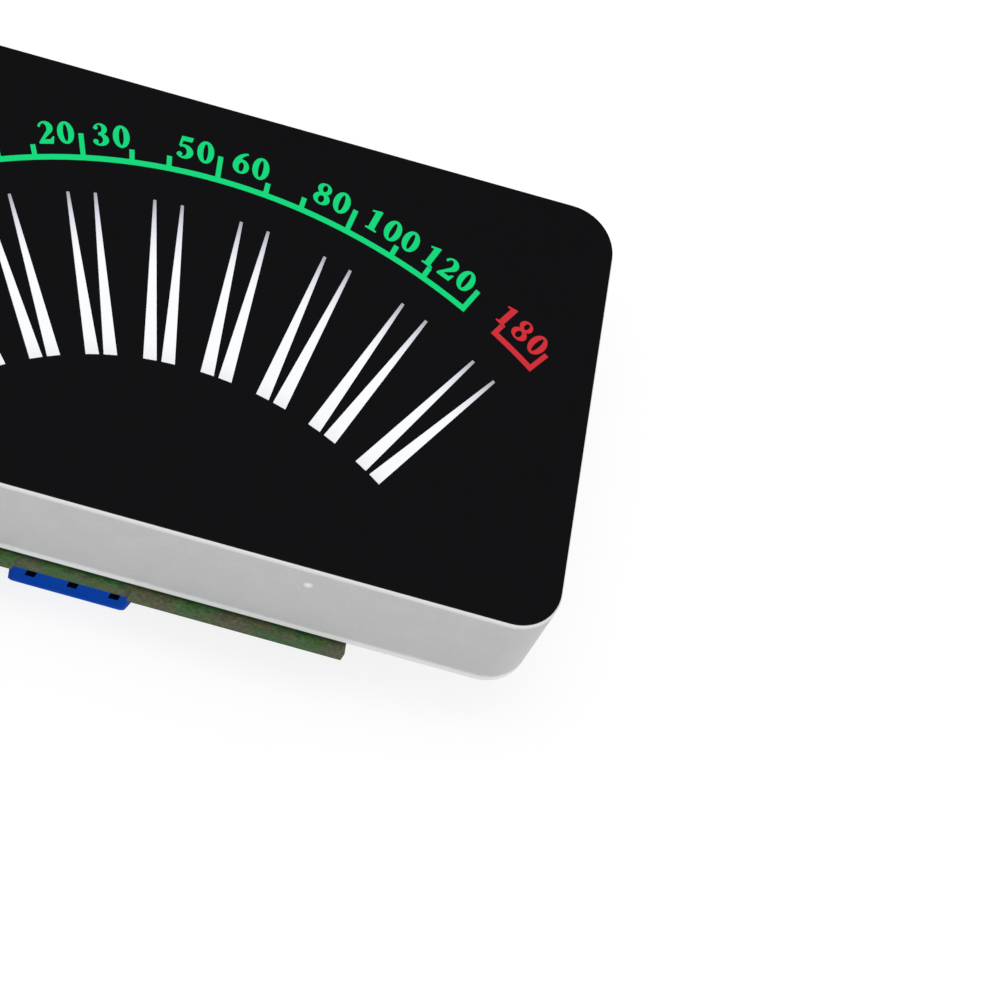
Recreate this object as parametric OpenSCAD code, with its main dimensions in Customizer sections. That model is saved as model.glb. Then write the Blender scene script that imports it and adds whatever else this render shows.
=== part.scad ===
/* [Housing] */
// Width of the display housing
housing_w = 96; // [92:0.5:110]
// Height of the display housing, along the dial's upright
housing_h = 56.8; // [55:0.2:66]
// Depth of the display housing, face film included
housing_d = 14.1; // [11:0.1:18]
// Radius of the housing's four upright corners
corner_r = 5.7; // [3:0.1:8]
// Thickness of the housing's side walls
wall_t = 1.6; // [1.2:0.1:2.4]
// Thickness of the moulded front wall behind the film
face_t = 1.2; // [0.8:0.1:2]
// Wall left round each needle's light channel
channel_wall = 0.8; // [0.6:0.1:1.2]
// Diameter of the pegs that hold the lamp board
stake_d = 2.2; // [1.8:0.1:3]
// Distance from the housing's sides to the pegs
stake_inset = 9; // [7:0.5:12]
// Wall of the boss round each peg
stake_boss_wall = 1.4; // [1:0.1:2]
// Height of the melted head of each peg
stake_head_h = 0.8; // [0.5:0.1:1.1]

/* [Face] */
// Thickness of the black face film
film_t = 0.3; // [0.2:0.05:0.6]
// Bare edge of the housing left round the film
film_margin = 0.2; // [0.1:0.05:0.6]
// Depth of the coloured print let into the film
print_t = 0.1; // [0.05:0.01:0.15]

/* [Needles] */
// Drop of the needle fan's centre below the middle of the face
fan_drop = 47.5; // [46:0.1:49]
// Pairs of needles, one needle of each pair for each channel
pair_count = 8; // [4:1:8]
// Angle between neighbouring pairs
pair_pitch = 9.8; // [8.5:0.05:10.2]
// Angle between the two needles of a pair
pair_split = 3.1; // [2.8:0.05:3.6]
// Radius of the needles' outer ends
needle_tip_r = 61.6; // [58:0.1:63]
// Radius of the needles' inner ends
needle_base_r = 40.6; // [38:0.1:43]
// Width of a needle at its outer end
needle_tip_w = 0.36; // [0.3:0.02:0.7]
// Width of a needle at its inner end
needle_base_w = 1.62; // [1.5:0.02:1.8]
// Depth of the milky window cast in each needle's channel
window_depth = 3; // [1.5:0.1:6]
// Gap round each window in its channel
window_fit = 0.05; // [0.02:0.01:0.08]

/* [Scale] */
// Radius of the middle of the scale's arc
arc_r = 66.1; // [65:0.1:67]
// Width of the scale's arc
arc_w = 0.72; // [0.4:0.02:1]
// Width of the marks across the scale
mark_w = 0.62; // [0.4:0.02:0.8]
// Angle between the long marks
mark_pitch = 14.05; // [13.5:0.05:14.3]
// Angle from a long mark to the short marks beside it
short_mark_angle = 5.1; // [4.8:0.05:5.6]
// Length of a long mark above the middle of the arc
long_mark = 3.15; // [2.4:0.05:3.6]
// Length of a short mark above the middle of the arc
short_mark = 1.65; // [1:0.05:2.2]
// Angle at which the overload bracket starts
overload_start = 32.1; // [31:0.1:32.5]
// Angle that the overload bracket covers
overload_sweep = 5; // [5:0.1:6]
// Height of the numerals
numeral_h = 2.95; // [2.4:0.05:3.4]
// Width of a numeral
numeral_w = 2.05; // [1.6:0.05:2.2]
// Distance between the numerals of a number
numeral_pitch = 2.4; // [2.3:0.05:2.6]
// Distance from the arc to the middle of the numerals
numeral_rise = 3.15; // [2.6:0.05:3.4]
// Space between a long mark and the numeral before it
numeral_gap_before = 0.65; // [0.4:0.05:0.8]
// Space between a long mark and the numeral after it
numeral_gap_after = 1.3; // [1:0.05:1.5]

/* [Boards] */
// Thickness of the lamp board that closes the housing
lamp_board_t = 1.6; // [1:0.1:2]
// Gap round the lamp board in the housing
lamp_board_fit = 0.15; // [0.05:0.05:0.3]
// Width of the driver board
driver_board_w = 54; // [53:0.5:66]
// Height of the driver board
driver_board_h = 58.6; // [55:0.2:66]
// Thickness of the driver board
driver_board_t = 1.6; // [1:0.1:2]
// Gap between the housing's rear rim and the driver board
board_gap = 0.9; // [0.8:0.1:3]
// Distance that the driver board's lower edge stands out past the housing
board_overhang = 0.9; // [0:0.05:1.5]
// Depth of the recess in the driver board's lower edge
board_recess = 0.5; // [0.1:0.05:0.8]
// Length of the recess
recess_w = 14; // [8:0.5:20]
// Sideways place of the recess's middle
recess_x = -6.1; // [-10:0.1:10]
// Length of a needle lamp, along its needle
lamp_l = 1.6; // [1:0.1:2]
// Width of a needle lamp
lamp_w = 0.8; // [0.5:0.05:0.8]
// Height of a needle lamp
lamp_h = 0.6; // [0.3:0.05:1]
// Lamps under each needle
lamp_count = 3; // [1:1:3]
// Distance between the lamps of a needle
lamp_pitch = 4.5; // [2.5:0.1:4.6]
// Pins in each row that links the two boards
pin_count = 12; // [6:1:12]
// Distance between the pins of a row
pin_pitch = 2.54; // [2:0.02:2.54]
// Thickness of the square link pins
pin_w = 0.64; // [0.5:0.02:0.66]
// Diameter of the holes that take the link pins
pin_hole_d = 1; // [0.95:0.01:1.1]
// Distance from the upper edge that both boards reach to the upper pin row
pin_inset = 2.4; // [1.8:0.1:3]
// Distance from the driver board's lower edge to the lower pin row
lower_pin_rise = 17.3; // [15.5:0.1:17.5]
// Width of the plastic strip that holds a pin row
strip_w = 2.4; // [1.6:0.1:2.6]
// Length of a pin past the board it is soldered to
pin_tail = 0.9; // [0.6:0.05:1.1]
// Radius of a solder joint on the board
solder_r = 0.9; // [0.7:0.05:1.1]

/* [Terminals] */
// Distance between the poles of a terminal
terminal_pitch = 5.08; // [5:0.02:5.4]
// Height of the terminals behind the driver board
terminal_h = 10.6; // [10:0.1:14]
// Distance from a terminal's screws to its wire side
terminal_front = 3.6; // [3.4:0.1:5]
// Distance from a terminal's screws to its blind side
terminal_back = 4; // [3.8:0.1:6]
// Radius of a terminal's two upright corners on its wire side
terminal_round = 1.2; // [0.6:0.1:1.3]
// Width that each end of a terminal draws in towards its top
terminal_taper_w = 0.5; // [0.2:0.05:0.6]
// Height over which a terminal's ends draw in
terminal_taper_h = 2.6; // [1:0.1:4]
// Chamfer along the terminal's blind top edge
terminal_chamfer = 1; // [0.4:0.1:1.2]
// Distance from the driver board's lower edge to the wire side
terminal_inset = 4.85; // [2:0.05:6]
// Sideways place of the audio terminal's middle
audio_x = -3.85; // [-5:0.05:0]
// Gap between the audio and the power terminal
terminal_gap = 2.3; // [0.5:0.1:4]
// Wall at each side of a pole's chamber
pole_wall = 0.6; // [0.5:0.05:0.8]
// Wall between a chamber and the wire side
front_wall = 0.9; // [0.6:0.05:1.2]
// Width of a wire entry
entry_w = 3; // [2:0.1:3.2]
// Height of a wire entry
entry_h = 2.6; // [2:0.1:2.8]
// Width of the narrow slot above a wire entry
slot_w = 1.2; // [0.6:0.1:1.6]
// Distance from the slot's end to the terminal's top
slot_top = 2; // [1.8:0.1:3]
// Diameter of a clamp screw's shank
screw_d = 2.5; // [2:0.1:2.6]
// Diameter of a clamp screw's head
screw_head_d = 3.6; // [3.2:0.1:3.8]
// Height of a clamp screw's head
screw_head_h = 1.3; // [1:0.1:1.5]
// Depth of a screw head below the terminal's top
screw_sink = 0.3; // [0.1:0.05:0.6]
// Running clearance round a screw, on the radius
screw_fit = 0.05; // [0.02:0.01:0.1]
// Travel of a clamp cage from open to closed
cage_travel = 2; // [1:0.1:2]
// Depth of a clamp cage, along the wire
cage_d = 3.9; // [3:0.1:4]
// Gap round a clamp cage in its chamber
cage_fit = 0.1; // [0.05:0.01:0.2]
// Thickness of a clamp cage's floor and sides
cage_wall = 0.6; // [0.5:0.05:0.7]
// Thickness of a clamp cage's threaded top
cage_top = 1.1; // [0.8:0.05:1.2]
// Height of the window inside a clamp cage
cage_gap = 3; // [2.8:0.05:3.1]
// Height of an open clamp cage above the driver board
cage_lift = 0.5; // [0.3:0.05:0.6]
// Thickness of the contact bars
contact_t = 0.6; // [0.4:0.05:0.7]
// Width of a contact's solder leg
contact_leg_w = 1; // [0.6:0.05:1.2]

/* [Gain trimmers] */
// Width and depth of a trimmer's body
trimmer_w = 6.8; // [6:0.1:7]
// Height of a trimmer's body
trimmer_h = 4.8; // [4:0.1:8]
// Diameter of a trimmer's rotor
rotor_d = 3.9; // [3:0.1:5]
// Height of a trimmer's rotor
rotor_h = 1.3; // [1:0.1:1.5]
// Diameter of the rotor's spindle
spindle_d = 1.5; // [1:0.1:2]
// Length of the rotor's spindle
spindle_l = 1.8; // [1:0.1:2]
// Running clearance round the rotor, on the radius
rotor_fit = 0.05; // [0.02:0.01:0.1]
// Gap between the audio terminal and the first trimmer, and between the trimmers
trimmer_gap = 2.6; // [1:0.1:3]

/* [Board parts] */
// Diameter of the reservoir capacitors
capacitor_d = 10; // [6.3:0.1:10]
// Height of the reservoir capacitors behind the driver board
capacitor_h = 10.6; // [10:0.1:14]
// Thickness of the capacitors' plastic bases
capacitor_base_t = 1.8; // [1:0.1:2.5]
// Edge of the square base past the capacitor's can
capacitor_base_edge = 0.15; // [0.1:0.05:0.3]
// Distance from the solder of the upper pin row to the capacitors
capacitor_inset = 2.2; // [1:0.1:3]
// Distance from the driver board's sides to the capacitors
capacitor_side = 2.2; // [1:0.1:2.5]
// Width of the three moulded chips, across their leads
chip_w = 7.5; // [6:0.1:7.6]
// Thickness of the moulded chips
chip_t = 2.3; // [1.5:0.1:2.6]
// Distance between the leads of a chip
lead_pitch = 1.27; // [1.2:0.01:1.3]
// Width of a chip's lead
lead_w = 0.42; // [0.3:0.02:0.5]
// Length of the small two-ended parts
small_part_l = 2; // [1.6:0.1:2.2]
// Width of the small two-ended parts
small_part_w = 1.25; // [0.8:0.05:1.4]
// Height of a resistor
resistor_h = 0.55; // [0.4:0.05:0.7]
// Height of a ceramic capacitor
ceramic_h = 0.95; // [0.6:0.05:1.2]
// Distance between neighbouring small parts
small_part_pitch = 3.4; // [2.6:0.1:3.6]
// Size of the regulator's body
regulator_w = 6.4; // [5:0.1:6.6]

/* [Hidden] */
$fn = 64;
// Overlap of cutting shapes past the faces they cut
eps = 0.01;

// Heights of the stack, from the surface that the rear parts lie on up to the face
rear_z = max(terminal_h, capacitor_h);
rim_z = rear_z + driver_board_t + board_gap;
lamp_z = rim_z + lamp_board_t;
face_z = rim_z + housing_d;
film_z = face_z - film_t;
inner_z = film_z - face_t;

// Edges of the driver board
board_y0 = -housing_h / 2 - board_overhang;
board_y1 = board_y0 + driver_board_h;

// Inside of the housing
inner_w = housing_w - 2 * wall_t;
inner_h = housing_h - 2 * wall_t;
inner_r = corner_r - wall_t;

// Rows of pins above and below the needles, within both boards
pin_rows = [board_y0 + lower_pin_rise, min(inner_h / 2, board_y1) - pin_inset];
pin_row_l = pin_count * pin_pitch;
// Bare tip of a pin past its solder, and the radius of the solder there
pin_tip = 0.2;
solder_tip_r = 0.5;
// Gap round a part's leg in its hole, on the radius
leg_hole_fit = 0.1;

// Needles, marks and numerals
needle_angles = [
  for (p = [0 : pair_count - 1], s = [-1, 1])
    (p - (pair_count - 1) / 2) * pair_pitch + s * pair_split / 2
];
last_mark = 2;
short_sides = [-1, 1];
numeral_r = arc_r + numeral_rise;
glyph_w = 0.62;
curve_steps = 20;
// Each numeral: its digits, the long mark it stands by, and its side of that mark
scale_labels = [
  [[1, 0], -2, 1], [[2, 0], -1, -1], [[3, 0], -1, 1], [[5, 0], 0, -1], [[6, 0], 0, 1],
  [[8, 0], 1, -1], [[1, 0, 0], 1, 1], [[1, 2, 0], 2, -1],
];
zero_label = [0];
overload_label = [1, 8, 0];
bracket_shift = 0.3;
overload_label_shift = 0.8;
print_z = face_z - print_t;

// Terminals: gaps round the parts inside a pole, then their places and sizes
cage_back_gap = 0.15;
cage_headroom = 0.2;
contact_gap = 0.15;
contact_leg_wall = 0.5;
chamber_w = terminal_pitch - 2 * pole_wall;
chamber_front = terminal_front - front_wall;
chamber_back = cage_d / 2 + cage_back_gap;
cage_w = chamber_w - 2 * cage_fit;
cage_h = cage_wall + cage_gap + cage_top;
contact_z1 = cage_lift + cage_wall + cage_gap - contact_gap;
contact_z0 = contact_z1 - contact_t;
contact_w = cage_w - 2 * cage_wall - 2 * contact_gap;
contact_leg_y = chamber_back + contact_leg_wall;
tail_clearance = 0.3;
contact_tail = board_gap - tail_clearance;
head_z = terminal_h - screw_sink - screw_head_h;
chamber_top = cage_lift + cage_h + cage_travel + cage_headroom;
driver_slot_w = 0.7;
driver_slot_d = 0.6;
audio_poles = 3;
power_poles = 2;
terminal_y = board_y0 + terminal_inset + terminal_front;
audio_w = audio_poles * terminal_pitch;
power_w = power_poles * terminal_pitch;
power_x = audio_x - audio_w / 2 - terminal_gap - power_w / 2;

// Trimmers, to the right of the audio terminal
trimmer_y = board_y0 + terminal_inset + trimmer_w / 2;
trimmer_x = [
  for (i = [0, 1])
    audio_x + audio_w / 2 + trimmer_gap + trimmer_w / 2 + i * (trimmer_w + trimmer_gap)
];
trimmer_leg_w = 0.5;
trimmer_leg_spread = 2.5;

// Parts in the upper half of the board
capacitor_base_w = capacitor_d + 2 * capacitor_base_edge;
capacitor_y = pin_rows[1] - solder_r - capacitor_inset - capacitor_base_w / 2;
capacitor_x = driver_board_w / 2 - capacitor_side - capacitor_base_w / 2;
capacitor_base_cut = 2;
lead_reach = 1.4;
chip_span = chip_w + 2 * lead_reach;
lamp_driver_leads = 12;
control_leads = 10;
preamp_leads = 4;
chip_end = 1.1;
chip_gap = 1.2;
// Rows between the two pin rows, two of chips and three of small parts, with equal gaps
row_gap_count = 6;
row_space = pin_rows[1] - pin_rows[0] - 2 * solder_r;
row_gap = (row_space - 2 * chip_span - 3 * small_part_l) / row_gap_count;
lamp_driver_y = pin_rows[1] - solder_r - row_gap - chip_span / 2;
upper_row_y = lamp_driver_y - chip_span / 2 - row_gap - small_part_l / 2;
control_y = upper_row_y - small_part_l / 2 - row_gap - chip_span / 2;
lower_row_y = control_y - chip_span / 2 - row_gap - small_part_l / 2;
bottom_row_y = lower_row_y - small_part_l - row_gap;
control_half = control_leads * lead_pitch / 2;
preamp_x = control_half + chip_gap + chip_end + preamp_leads * lead_pitch / 2;
regulator_x = -(control_half + chip_gap + chip_end + regulator_w / 2);
regulator_h = 2.3;
regulator_tab_t = 0.5;
regulator_tab_edge = 0.65;
regulator_tab_lip = 1;
regulator_leg_spread = 2.2;
rotor_slot_edge = 0.4;
small_end_l = 0.35;
upper_row_count = 6;
lower_row_count = 8;
bottom_row_count = 5;

// Points along part of an ellipse with its middle at c and half-axes r
function curve(c, r, a0, a1) = [
  for (i = [0 : curve_steps])
    let (a = a0 + (a1 - a0) * i / curve_steps) [c[0] + r[0] * cos(a), c[1] + r[1] * sin(a)]
];

// Points of a numeral, drawn one unit tall, at the numerals' real size
function sized(points) = [for (p = points) [p[0] * numeral_w / glyph_w, p[1] * numeral_h]];

// Places of a row of n small parts about the middle of the board
function row_x(n) = [for (i = [0 : n - 1]) (i - (n - 1) / 2) * small_part_pitch];

// Angle of a label of n digits beside a long mark
function label_angle(n, mark, side) =
  mark * mark_pitch + side * (180 / PI) / numeral_r
    * ((side < 0 ? numeral_gap_before : numeral_gap_after) + n * numeral_pitch / 2);

// Flat plate with rounded corners, standing on the XY plane
module rounded_plate(w, h, r, t) {
  linear_extrude(t) {
    square([w - 2 * r, h], center = true);
    square([w, h - 2 * r], center = true);
    for (sx = [-1, 1], sy = [-1, 1])
      translate([sx * (w / 2 - r), sy * (h / 2 - r)]) circle(r);
  }
}

// Turns a shape drawn on the dial's upright to angle a about the fan's centre
module at_fan(a) {
  translate([0, -fan_drop, 0]) rotate(-a) children();
}

// Places a shape on the rear of the driver board, its height pointing away from the board
module on_board(x, y) {
  translate([x, y, rear_z]) mirror([0, 0, 1]) children();
}

module needle_outline(grow) {
  polygon([
    [-needle_base_w / 2 - grow, needle_base_r - grow],
    [needle_base_w / 2 + grow, needle_base_r - grow],
    [needle_tip_w / 2 + grow, needle_tip_r + grow],
    [-needle_tip_w / 2 - grow, needle_tip_r + grow],
  ]);
}

// All needles as upright prisms from z0 to z1
module needle_prisms(grow, z0, z1) {
  for (a = needle_angles)
    at_fan(a) translate([0, 0, z0]) linear_extrude(z1 - z0) needle_outline(grow);
}

// Ring-shaped line of thickness t about the fan's centre, from angle a0 to a1
module arc_line(r, a0, a1, t) {
  at_fan(a1) rotate(90) rotate_extrude(angle = a1 - a0)
    translate([r - arc_w / 2, 0]) square([arc_w, t]);
}

// Mark across the scale, from the arc outwards
module mark(a, r, reach, t) {
  at_fan(a) translate([-mark_w / 2, r - arc_w / 2, 0]) cube([mark_w, reach + arc_w / 2, t]);
}

// Bracket at the end of the scale: a short mark, a base line and a long mark
module end_bracket(side, t) {
  a0 = side * overload_start;
  a1 = side * (overload_start + overload_sweep);
  edge = side * (180 / PI) * mark_w / 2 / arc_r;
  arc_line(arc_r + bracket_shift, min(a0 - edge, a1 + edge), max(a0 - edge, a1 + edge), t);
  mark(a0, arc_r + bracket_shift, short_mark - bracket_shift, t);
  mark(a1, arc_r + bracket_shift, long_mark - bracket_shift, t);
}

// Arc with its marks and the bracket at its low end
module scale_shape(t) {
  edge = (180 / PI) * mark_w / 2 / arc_r;
  sweep = last_mark * mark_pitch;
  arc_line(arc_r, -sweep - edge, sweep + edge, t);
  for (m = [-last_mark : last_mark]) {
    mark(m * mark_pitch, arc_r, long_mark, t);
    for (s = short_sides)
      if (abs(m * mark_pitch + s * short_mark_angle) < sweep)
        mark(m * mark_pitch + s * short_mark_angle, arc_r, short_mark, t);
  }
  end_bracket(-1, t);
}

// Oval and open crescent from which the numerals are built
module oval(c, r) {
  polygon(sized(curve(c, r, 0, 360 * curve_steps / (curve_steps + 1))));
}

module crescent(c_out, r_out, c_in, r_in, a0, a1) {
  polygon(sized(concat(curve(c_out, r_out, a0, a1), curve(c_in, r_in, a1, a0))));
}

// Numerals with thick sides, thin tops and small feet
module glyph(digit) {
  if (digit == 0)
    difference() {
      oval([0.31, 0.5], [0.31, 0.5]);
      oval([0.31, 0.5], [0.09, 0.38]);
    }
  if (digit == 1)
    polygon(sized([
      [0.1, 0], [0.53, 0], [0.53, 0.07], [0.43, 0.11], [0.43, 1], [0.37, 1], [0.07, 0.88],
      [0.07, 0.8], [0.2, 0.83], [0.2, 0.11], [0.1, 0.07],
    ]));
  if (digit == 2)
    polygon(sized(concat(
      curve([0.3, 0.7], [0.28, 0.3], 165, -35), [[0.22, 0.2], [0.44, 0.2], [0.54, 0.33]],
      [[0.6, 0.33], [0.54, 0], [0.02, 0], [0.02, 0.08]],
      curve([0.235, 0.69], [0.115, 0.21], -35, 140), [[0.1, 0.72]]
    )));
  if (digit == 3) {
    crescent([0.27, 0.75], [0.25, 0.25], [0.22, 0.755], [0.105, 0.17], 158, -105);
    crescent([0.27, 0.28], [0.31, 0.28], [0.21, 0.28], [0.15, 0.19], 100, -150);
    oval([0.1, 0.79], [0.085, 0.085]);
    oval([0.1, 0.18], [0.1, 0.1]);
  }
  if (digit == 5) {
    crescent([0.26, 0.32], [0.33, 0.32], [0.19, 0.31], [0.165, 0.215], 124, -150);
    polygon(sized([
      [0.13, 1], [0.56, 1], [0.51, 0.79], [0.19, 0.79], [0.145, 0.575], [0.05, 0.55],
    ]));
    oval([0.1, 0.18], [0.1, 0.1]);
  }
  if (digit == 6) {
    difference() {
      oval([0.32, 0.33], [0.3, 0.33]);
      oval([0.335, 0.31], [0.095, 0.215]);
    }
    crescent([0.62, 0.33], [0.6, 0.67], [0.62, 0.33], [0.385, 0.6], 182, 103);
  }
  if (digit == 8)
    difference() {
      union() {
        oval([0.31, 0.74], [0.26, 0.26]);
        oval([0.31, 0.28], [0.31, 0.28]);
      }
      oval([0.32, 0.76], [0.092, 0.155]);
      oval([0.3, 0.26], [0.11, 0.17]);
    }
}

// Row of digits of thickness t, centred on the numerals' radius at angle a
module label(digits, a, t) {
  n = len(digits);
  at_fan(a) for (i = [0 : n - 1])
    translate([
      (i - (n - 1) / 2) * numeral_pitch - numeral_w / 2,
      numeral_r - numeral_h / 2,
      0,
    ])
      linear_extrude(t) glyph(digits[i]);
}

module numeral_shapes(t) {
  for (l = scale_labels) label(l[0], label_angle(len(l[0]), l[1], l[2]), t);
  label(zero_label, -(overload_start + overload_sweep / 2), t);
}

module overload_numeral_shapes(t) {
  label(overload_label, overload_start + overload_sweep / 2 - overload_label_shift, t);
}

// Places of the four pegs that hold the lamp board
module each_stake() {
  for (sx = [-1, 1], sy = [-1, 1])
    translate([sx * (housing_w / 2 - stake_inset), sy * (housing_h / 2 - stake_inset), 0])
      children();
}

// Places of the pins that link the two boards
module each_pin() {
  for (y = pin_rows, i = [0 : pin_count - 1])
    translate([(i - (pin_count - 1) / 2) * pin_pitch, y, 0]) children();
}

// Moulded grey tray: face, sides, light channels, and pegs melted over the lamp board
module housing_shell() {
  boss_d = stake_d + 2 * stake_boss_wall;
  color([0.72, 0.72, 0.72])
    difference() {
      union() {
        difference() {
          translate([0, 0, rim_z])
            rounded_plate(housing_w, housing_h, corner_r, housing_d - film_t);
          translate([0, 0, rim_z - eps])
            rounded_plate(inner_w, inner_h, inner_r, inner_z - rim_z + eps);
        }
        needle_prisms(channel_wall, lamp_z, inner_z + eps);
        each_stake() {
          translate([0, 0, lamp_z]) cylinder(d = boss_d, h = inner_z - lamp_z + eps);
          translate([0, 0, rim_z - eps]) cylinder(d = stake_d, h = lamp_board_t + 2 * eps);
          translate([0, 0, rim_z - stake_head_h])
            cylinder(d1 = stake_d, d2 = boss_d - stake_boss_wall, h = stake_head_h);
        }
      }
      needle_prisms(window_fit, lamp_z - eps, face_z);
    }
}

// Black film over the whole face, open at the needles, with the print let into it
module face_film() {
  color([0.07, 0.07, 0.075])
    difference() {
      translate([0, 0, film_z])
        rounded_plate(
          housing_w - 2 * film_margin, housing_h - 2 * film_margin, corner_r - film_margin, film_t
        );
      needle_prisms(window_fit, film_z - eps, face_z + eps);
      translate([0, 0, print_z]) {
        scale_shape(print_t + eps);
        numeral_shapes(print_t + eps);
        end_bracket(1, print_t + eps);
        overload_numeral_shapes(print_t + eps);
      }
    }
}

// Milky windows, one for each needle, flush with the film
module needle_windows() {
  color([0.97, 0.98, 1]) needle_prisms(0, face_z - window_depth, face_z);
}

module scale_lines() {
  color([0.11, 0.85, 0.52]) translate([0, 0, print_z]) scale_shape(print_t);
}

module scale_numerals() {
  color([0.11, 0.85, 0.52]) translate([0, 0, print_z]) numeral_shapes(print_t);
}

module overload_lines() {
  color([0.94, 0.2, 0.24]) translate([0, 0, print_z]) end_bracket(1, print_t);
}

module overload_numerals() {
  color([0.94, 0.2, 0.24]) translate([0, 0, print_z]) overload_numeral_shapes(print_t);
}

// Board that closes the housing and carries the needle lamps
module lamp_board() {
  color([0.18, 0.36, 0.2])
    difference() {
      translate([0, 0, rim_z])
        rounded_plate(
          inner_w - 2 * lamp_board_fit, inner_h - 2 * lamp_board_fit, inner_r - lamp_board_fit,
          lamp_board_t
        );
      each_stake() translate([0, 0, rim_z - eps])
        cylinder(d = stake_d + 2 * lamp_board_fit, h = lamp_board_t + 2 * eps);
      each_pin() translate([0, 0, rim_z - eps])
        cylinder(d = pin_hole_d, h = lamp_board_t + 2 * eps);
    }
}

// Chip lamps in a row under each needle
module needle_lamps() {
  color([0.95, 0.93, 0.8])
    for (a = needle_angles, i = [0 : lamp_count - 1])
      at_fan(a)
        translate([-lamp_w / 2, needle_base_r + window_fit + lamp_l / 2 + i * lamp_pitch, lamp_z])
          cube([lamp_w, lamp_l, lamp_h]);
}

// Square pins from the lamp board through the driver board
module link_pins() {
  pin_l = lamp_z - rear_z + 2 * pin_tail;
  color([0.85, 0.75, 0.4])
    each_pin() translate([-pin_w / 2, -pin_w / 2, rear_z - pin_tail]) cube([pin_w, pin_w, pin_l]);
}

// Plastic strips that hold the pins and keep the two boards apart
module link_strips() {
  color([0.08, 0.08, 0.08])
    difference() {
      for (y = pin_rows)
        translate([-pin_row_l / 2, y - strip_w / 2, rim_z - board_gap])
          cube([pin_row_l, strip_w, board_gap]);
      each_pin() translate([-pin_w / 2, -pin_w / 2, rim_z - board_gap - eps])
        cube([pin_w, pin_w, board_gap + 2 * eps]);
    }
}

// Poles of both terminals: where their contacts go through the driver board
module each_pole() {
  for (i = [0 : audio_poles - 1])
    translate([audio_x + (i - (audio_poles - 1) / 2) * terminal_pitch, terminal_y, 0]) children();
  for (i = [0 : power_poles - 1])
    translate([power_x + (i - (power_poles - 1) / 2) * terminal_pitch, terminal_y, 0]) children();
}

// The three legs of each trimmer
module each_trimmer_leg() {
  for (x = trimmer_x, i = [-1 : 1])
    translate([x + i * trimmer_leg_spread, trimmer_y + (i == 0 ? 1 : -1) * trimmer_leg_spread, 0])
      children();
}

module driver_board() {
  hole_h = driver_board_t + 2 * eps;
  leg_hole_d = sqrt(pow(contact_leg_w, 2) + pow(contact_t, 2)) + 2 * leg_hole_fit;
  color([0.2, 0.38, 0.2])
    difference() {
      translate([-driver_board_w / 2, board_y0, rear_z])
        cube([driver_board_w, driver_board_h, driver_board_t]);
      translate([recess_x - recess_w / 2, board_y0 - eps, rear_z - eps])
        cube([recess_w, board_recess + eps, hole_h]);
      each_pin() translate([0, 0, rear_z - eps]) cylinder(d = pin_hole_d, h = hole_h);
      each_pole() translate([0, contact_leg_y + contact_t / 2, rear_z - eps])
        cylinder(d = leg_hole_d, h = hole_h);
      each_trimmer_leg() translate([0, 0, rear_z - eps])
        cylinder(d = trimmer_leg_w + 2 * leg_hole_fit, h = hole_h);
    }
}

// Cones of solder round the link pins, on the rear of the driver board
module solder_joints() {
  solder_h = pin_tail - pin_tip;
  color([0.75, 0.76, 0.78])
    each_pin() translate([0, 0, rear_z - solder_h])
      difference() {
        cylinder(r1 = solder_tip_r, r2 = solder_r, h = solder_h);
        translate([-pin_w / 2, -pin_w / 2, -eps]) cube([pin_w, pin_w, solder_h + 2 * eps]);
      }
}

// Moulded chip body with n leads on each long side, its sides drafted from a middle line
module chip_body(n) {
  stand_off = 0.1;
  draft = 0.18;
  half = chip_w / 2;
  l = n * lead_pitch + 2 * (chip_end - lead_pitch / 2);
  translate([-l / 2, 0, 0]) rotate([90, 0, 90]) linear_extrude(l)
    polygon([
      [-half + draft, stand_off], [half - draft, stand_off], [half, chip_t / 2],
      [half - draft, chip_t], [-half + draft, chip_t], [-half, chip_t / 2],
    ]);
}

// Two rows of bent leads for a chip with n leads on each side
module chip_lead_rows(n) {
  half = chip_w / 2;
  z = chip_t / 2;
  lead_t = 0.2;
  bend = 0.45;
  lean = 0.2;
  tuck = 0.02;
  for (side = [-1, 1], i = [0 : n - 1])
    translate([(i - (n - 1) / 2) * lead_pitch - lead_w / 2, 0, 0])
      rotate([90, 0, 90]) linear_extrude(lead_w)
        polygon([
          [side * half, z], [side * (half + bend), z], [side * (half + bend + lean), lead_t],
          [side * (half + lead_reach), lead_t], [side * (half + lead_reach), 0],
          [side * (half + bend), 0], [side * (half + bend - lean), z - lead_t],
          [side * (half - tuck), z - lead_t],
        ]);
}

module lamp_driver_chip() {
  color([0.1, 0.1, 0.11]) on_board(0, lamp_driver_y) chip_body(lamp_driver_leads);
}

module control_chip() {
  color([0.1, 0.1, 0.11]) on_board(0, control_y) chip_body(control_leads);
}

module preamp_chip() {
  color([0.1, 0.1, 0.11]) on_board(preamp_x, control_y) chip_body(preamp_leads);
}

module chip_leads() {
  color([0.75, 0.76, 0.78]) {
    difference() {
      on_board(0, lamp_driver_y) chip_lead_rows(lamp_driver_leads);
      lamp_driver_chip();
    }
    difference() {
      on_board(0, control_y) chip_lead_rows(control_leads);
      control_chip();
    }
    difference() {
      on_board(preamp_x, control_y) chip_lead_rows(preamp_leads);
      preamp_chip();
    }
  }
}

// Regulator lying flat on its metal tab
module regulator() {
  color([0.1, 0.1, 0.11])
    on_board(regulator_x, control_y)
      translate([-regulator_w / 2, -regulator_w / 2, regulator_tab_t])
        cube([regulator_w, regulator_w, regulator_h - regulator_tab_t]);
}

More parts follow.
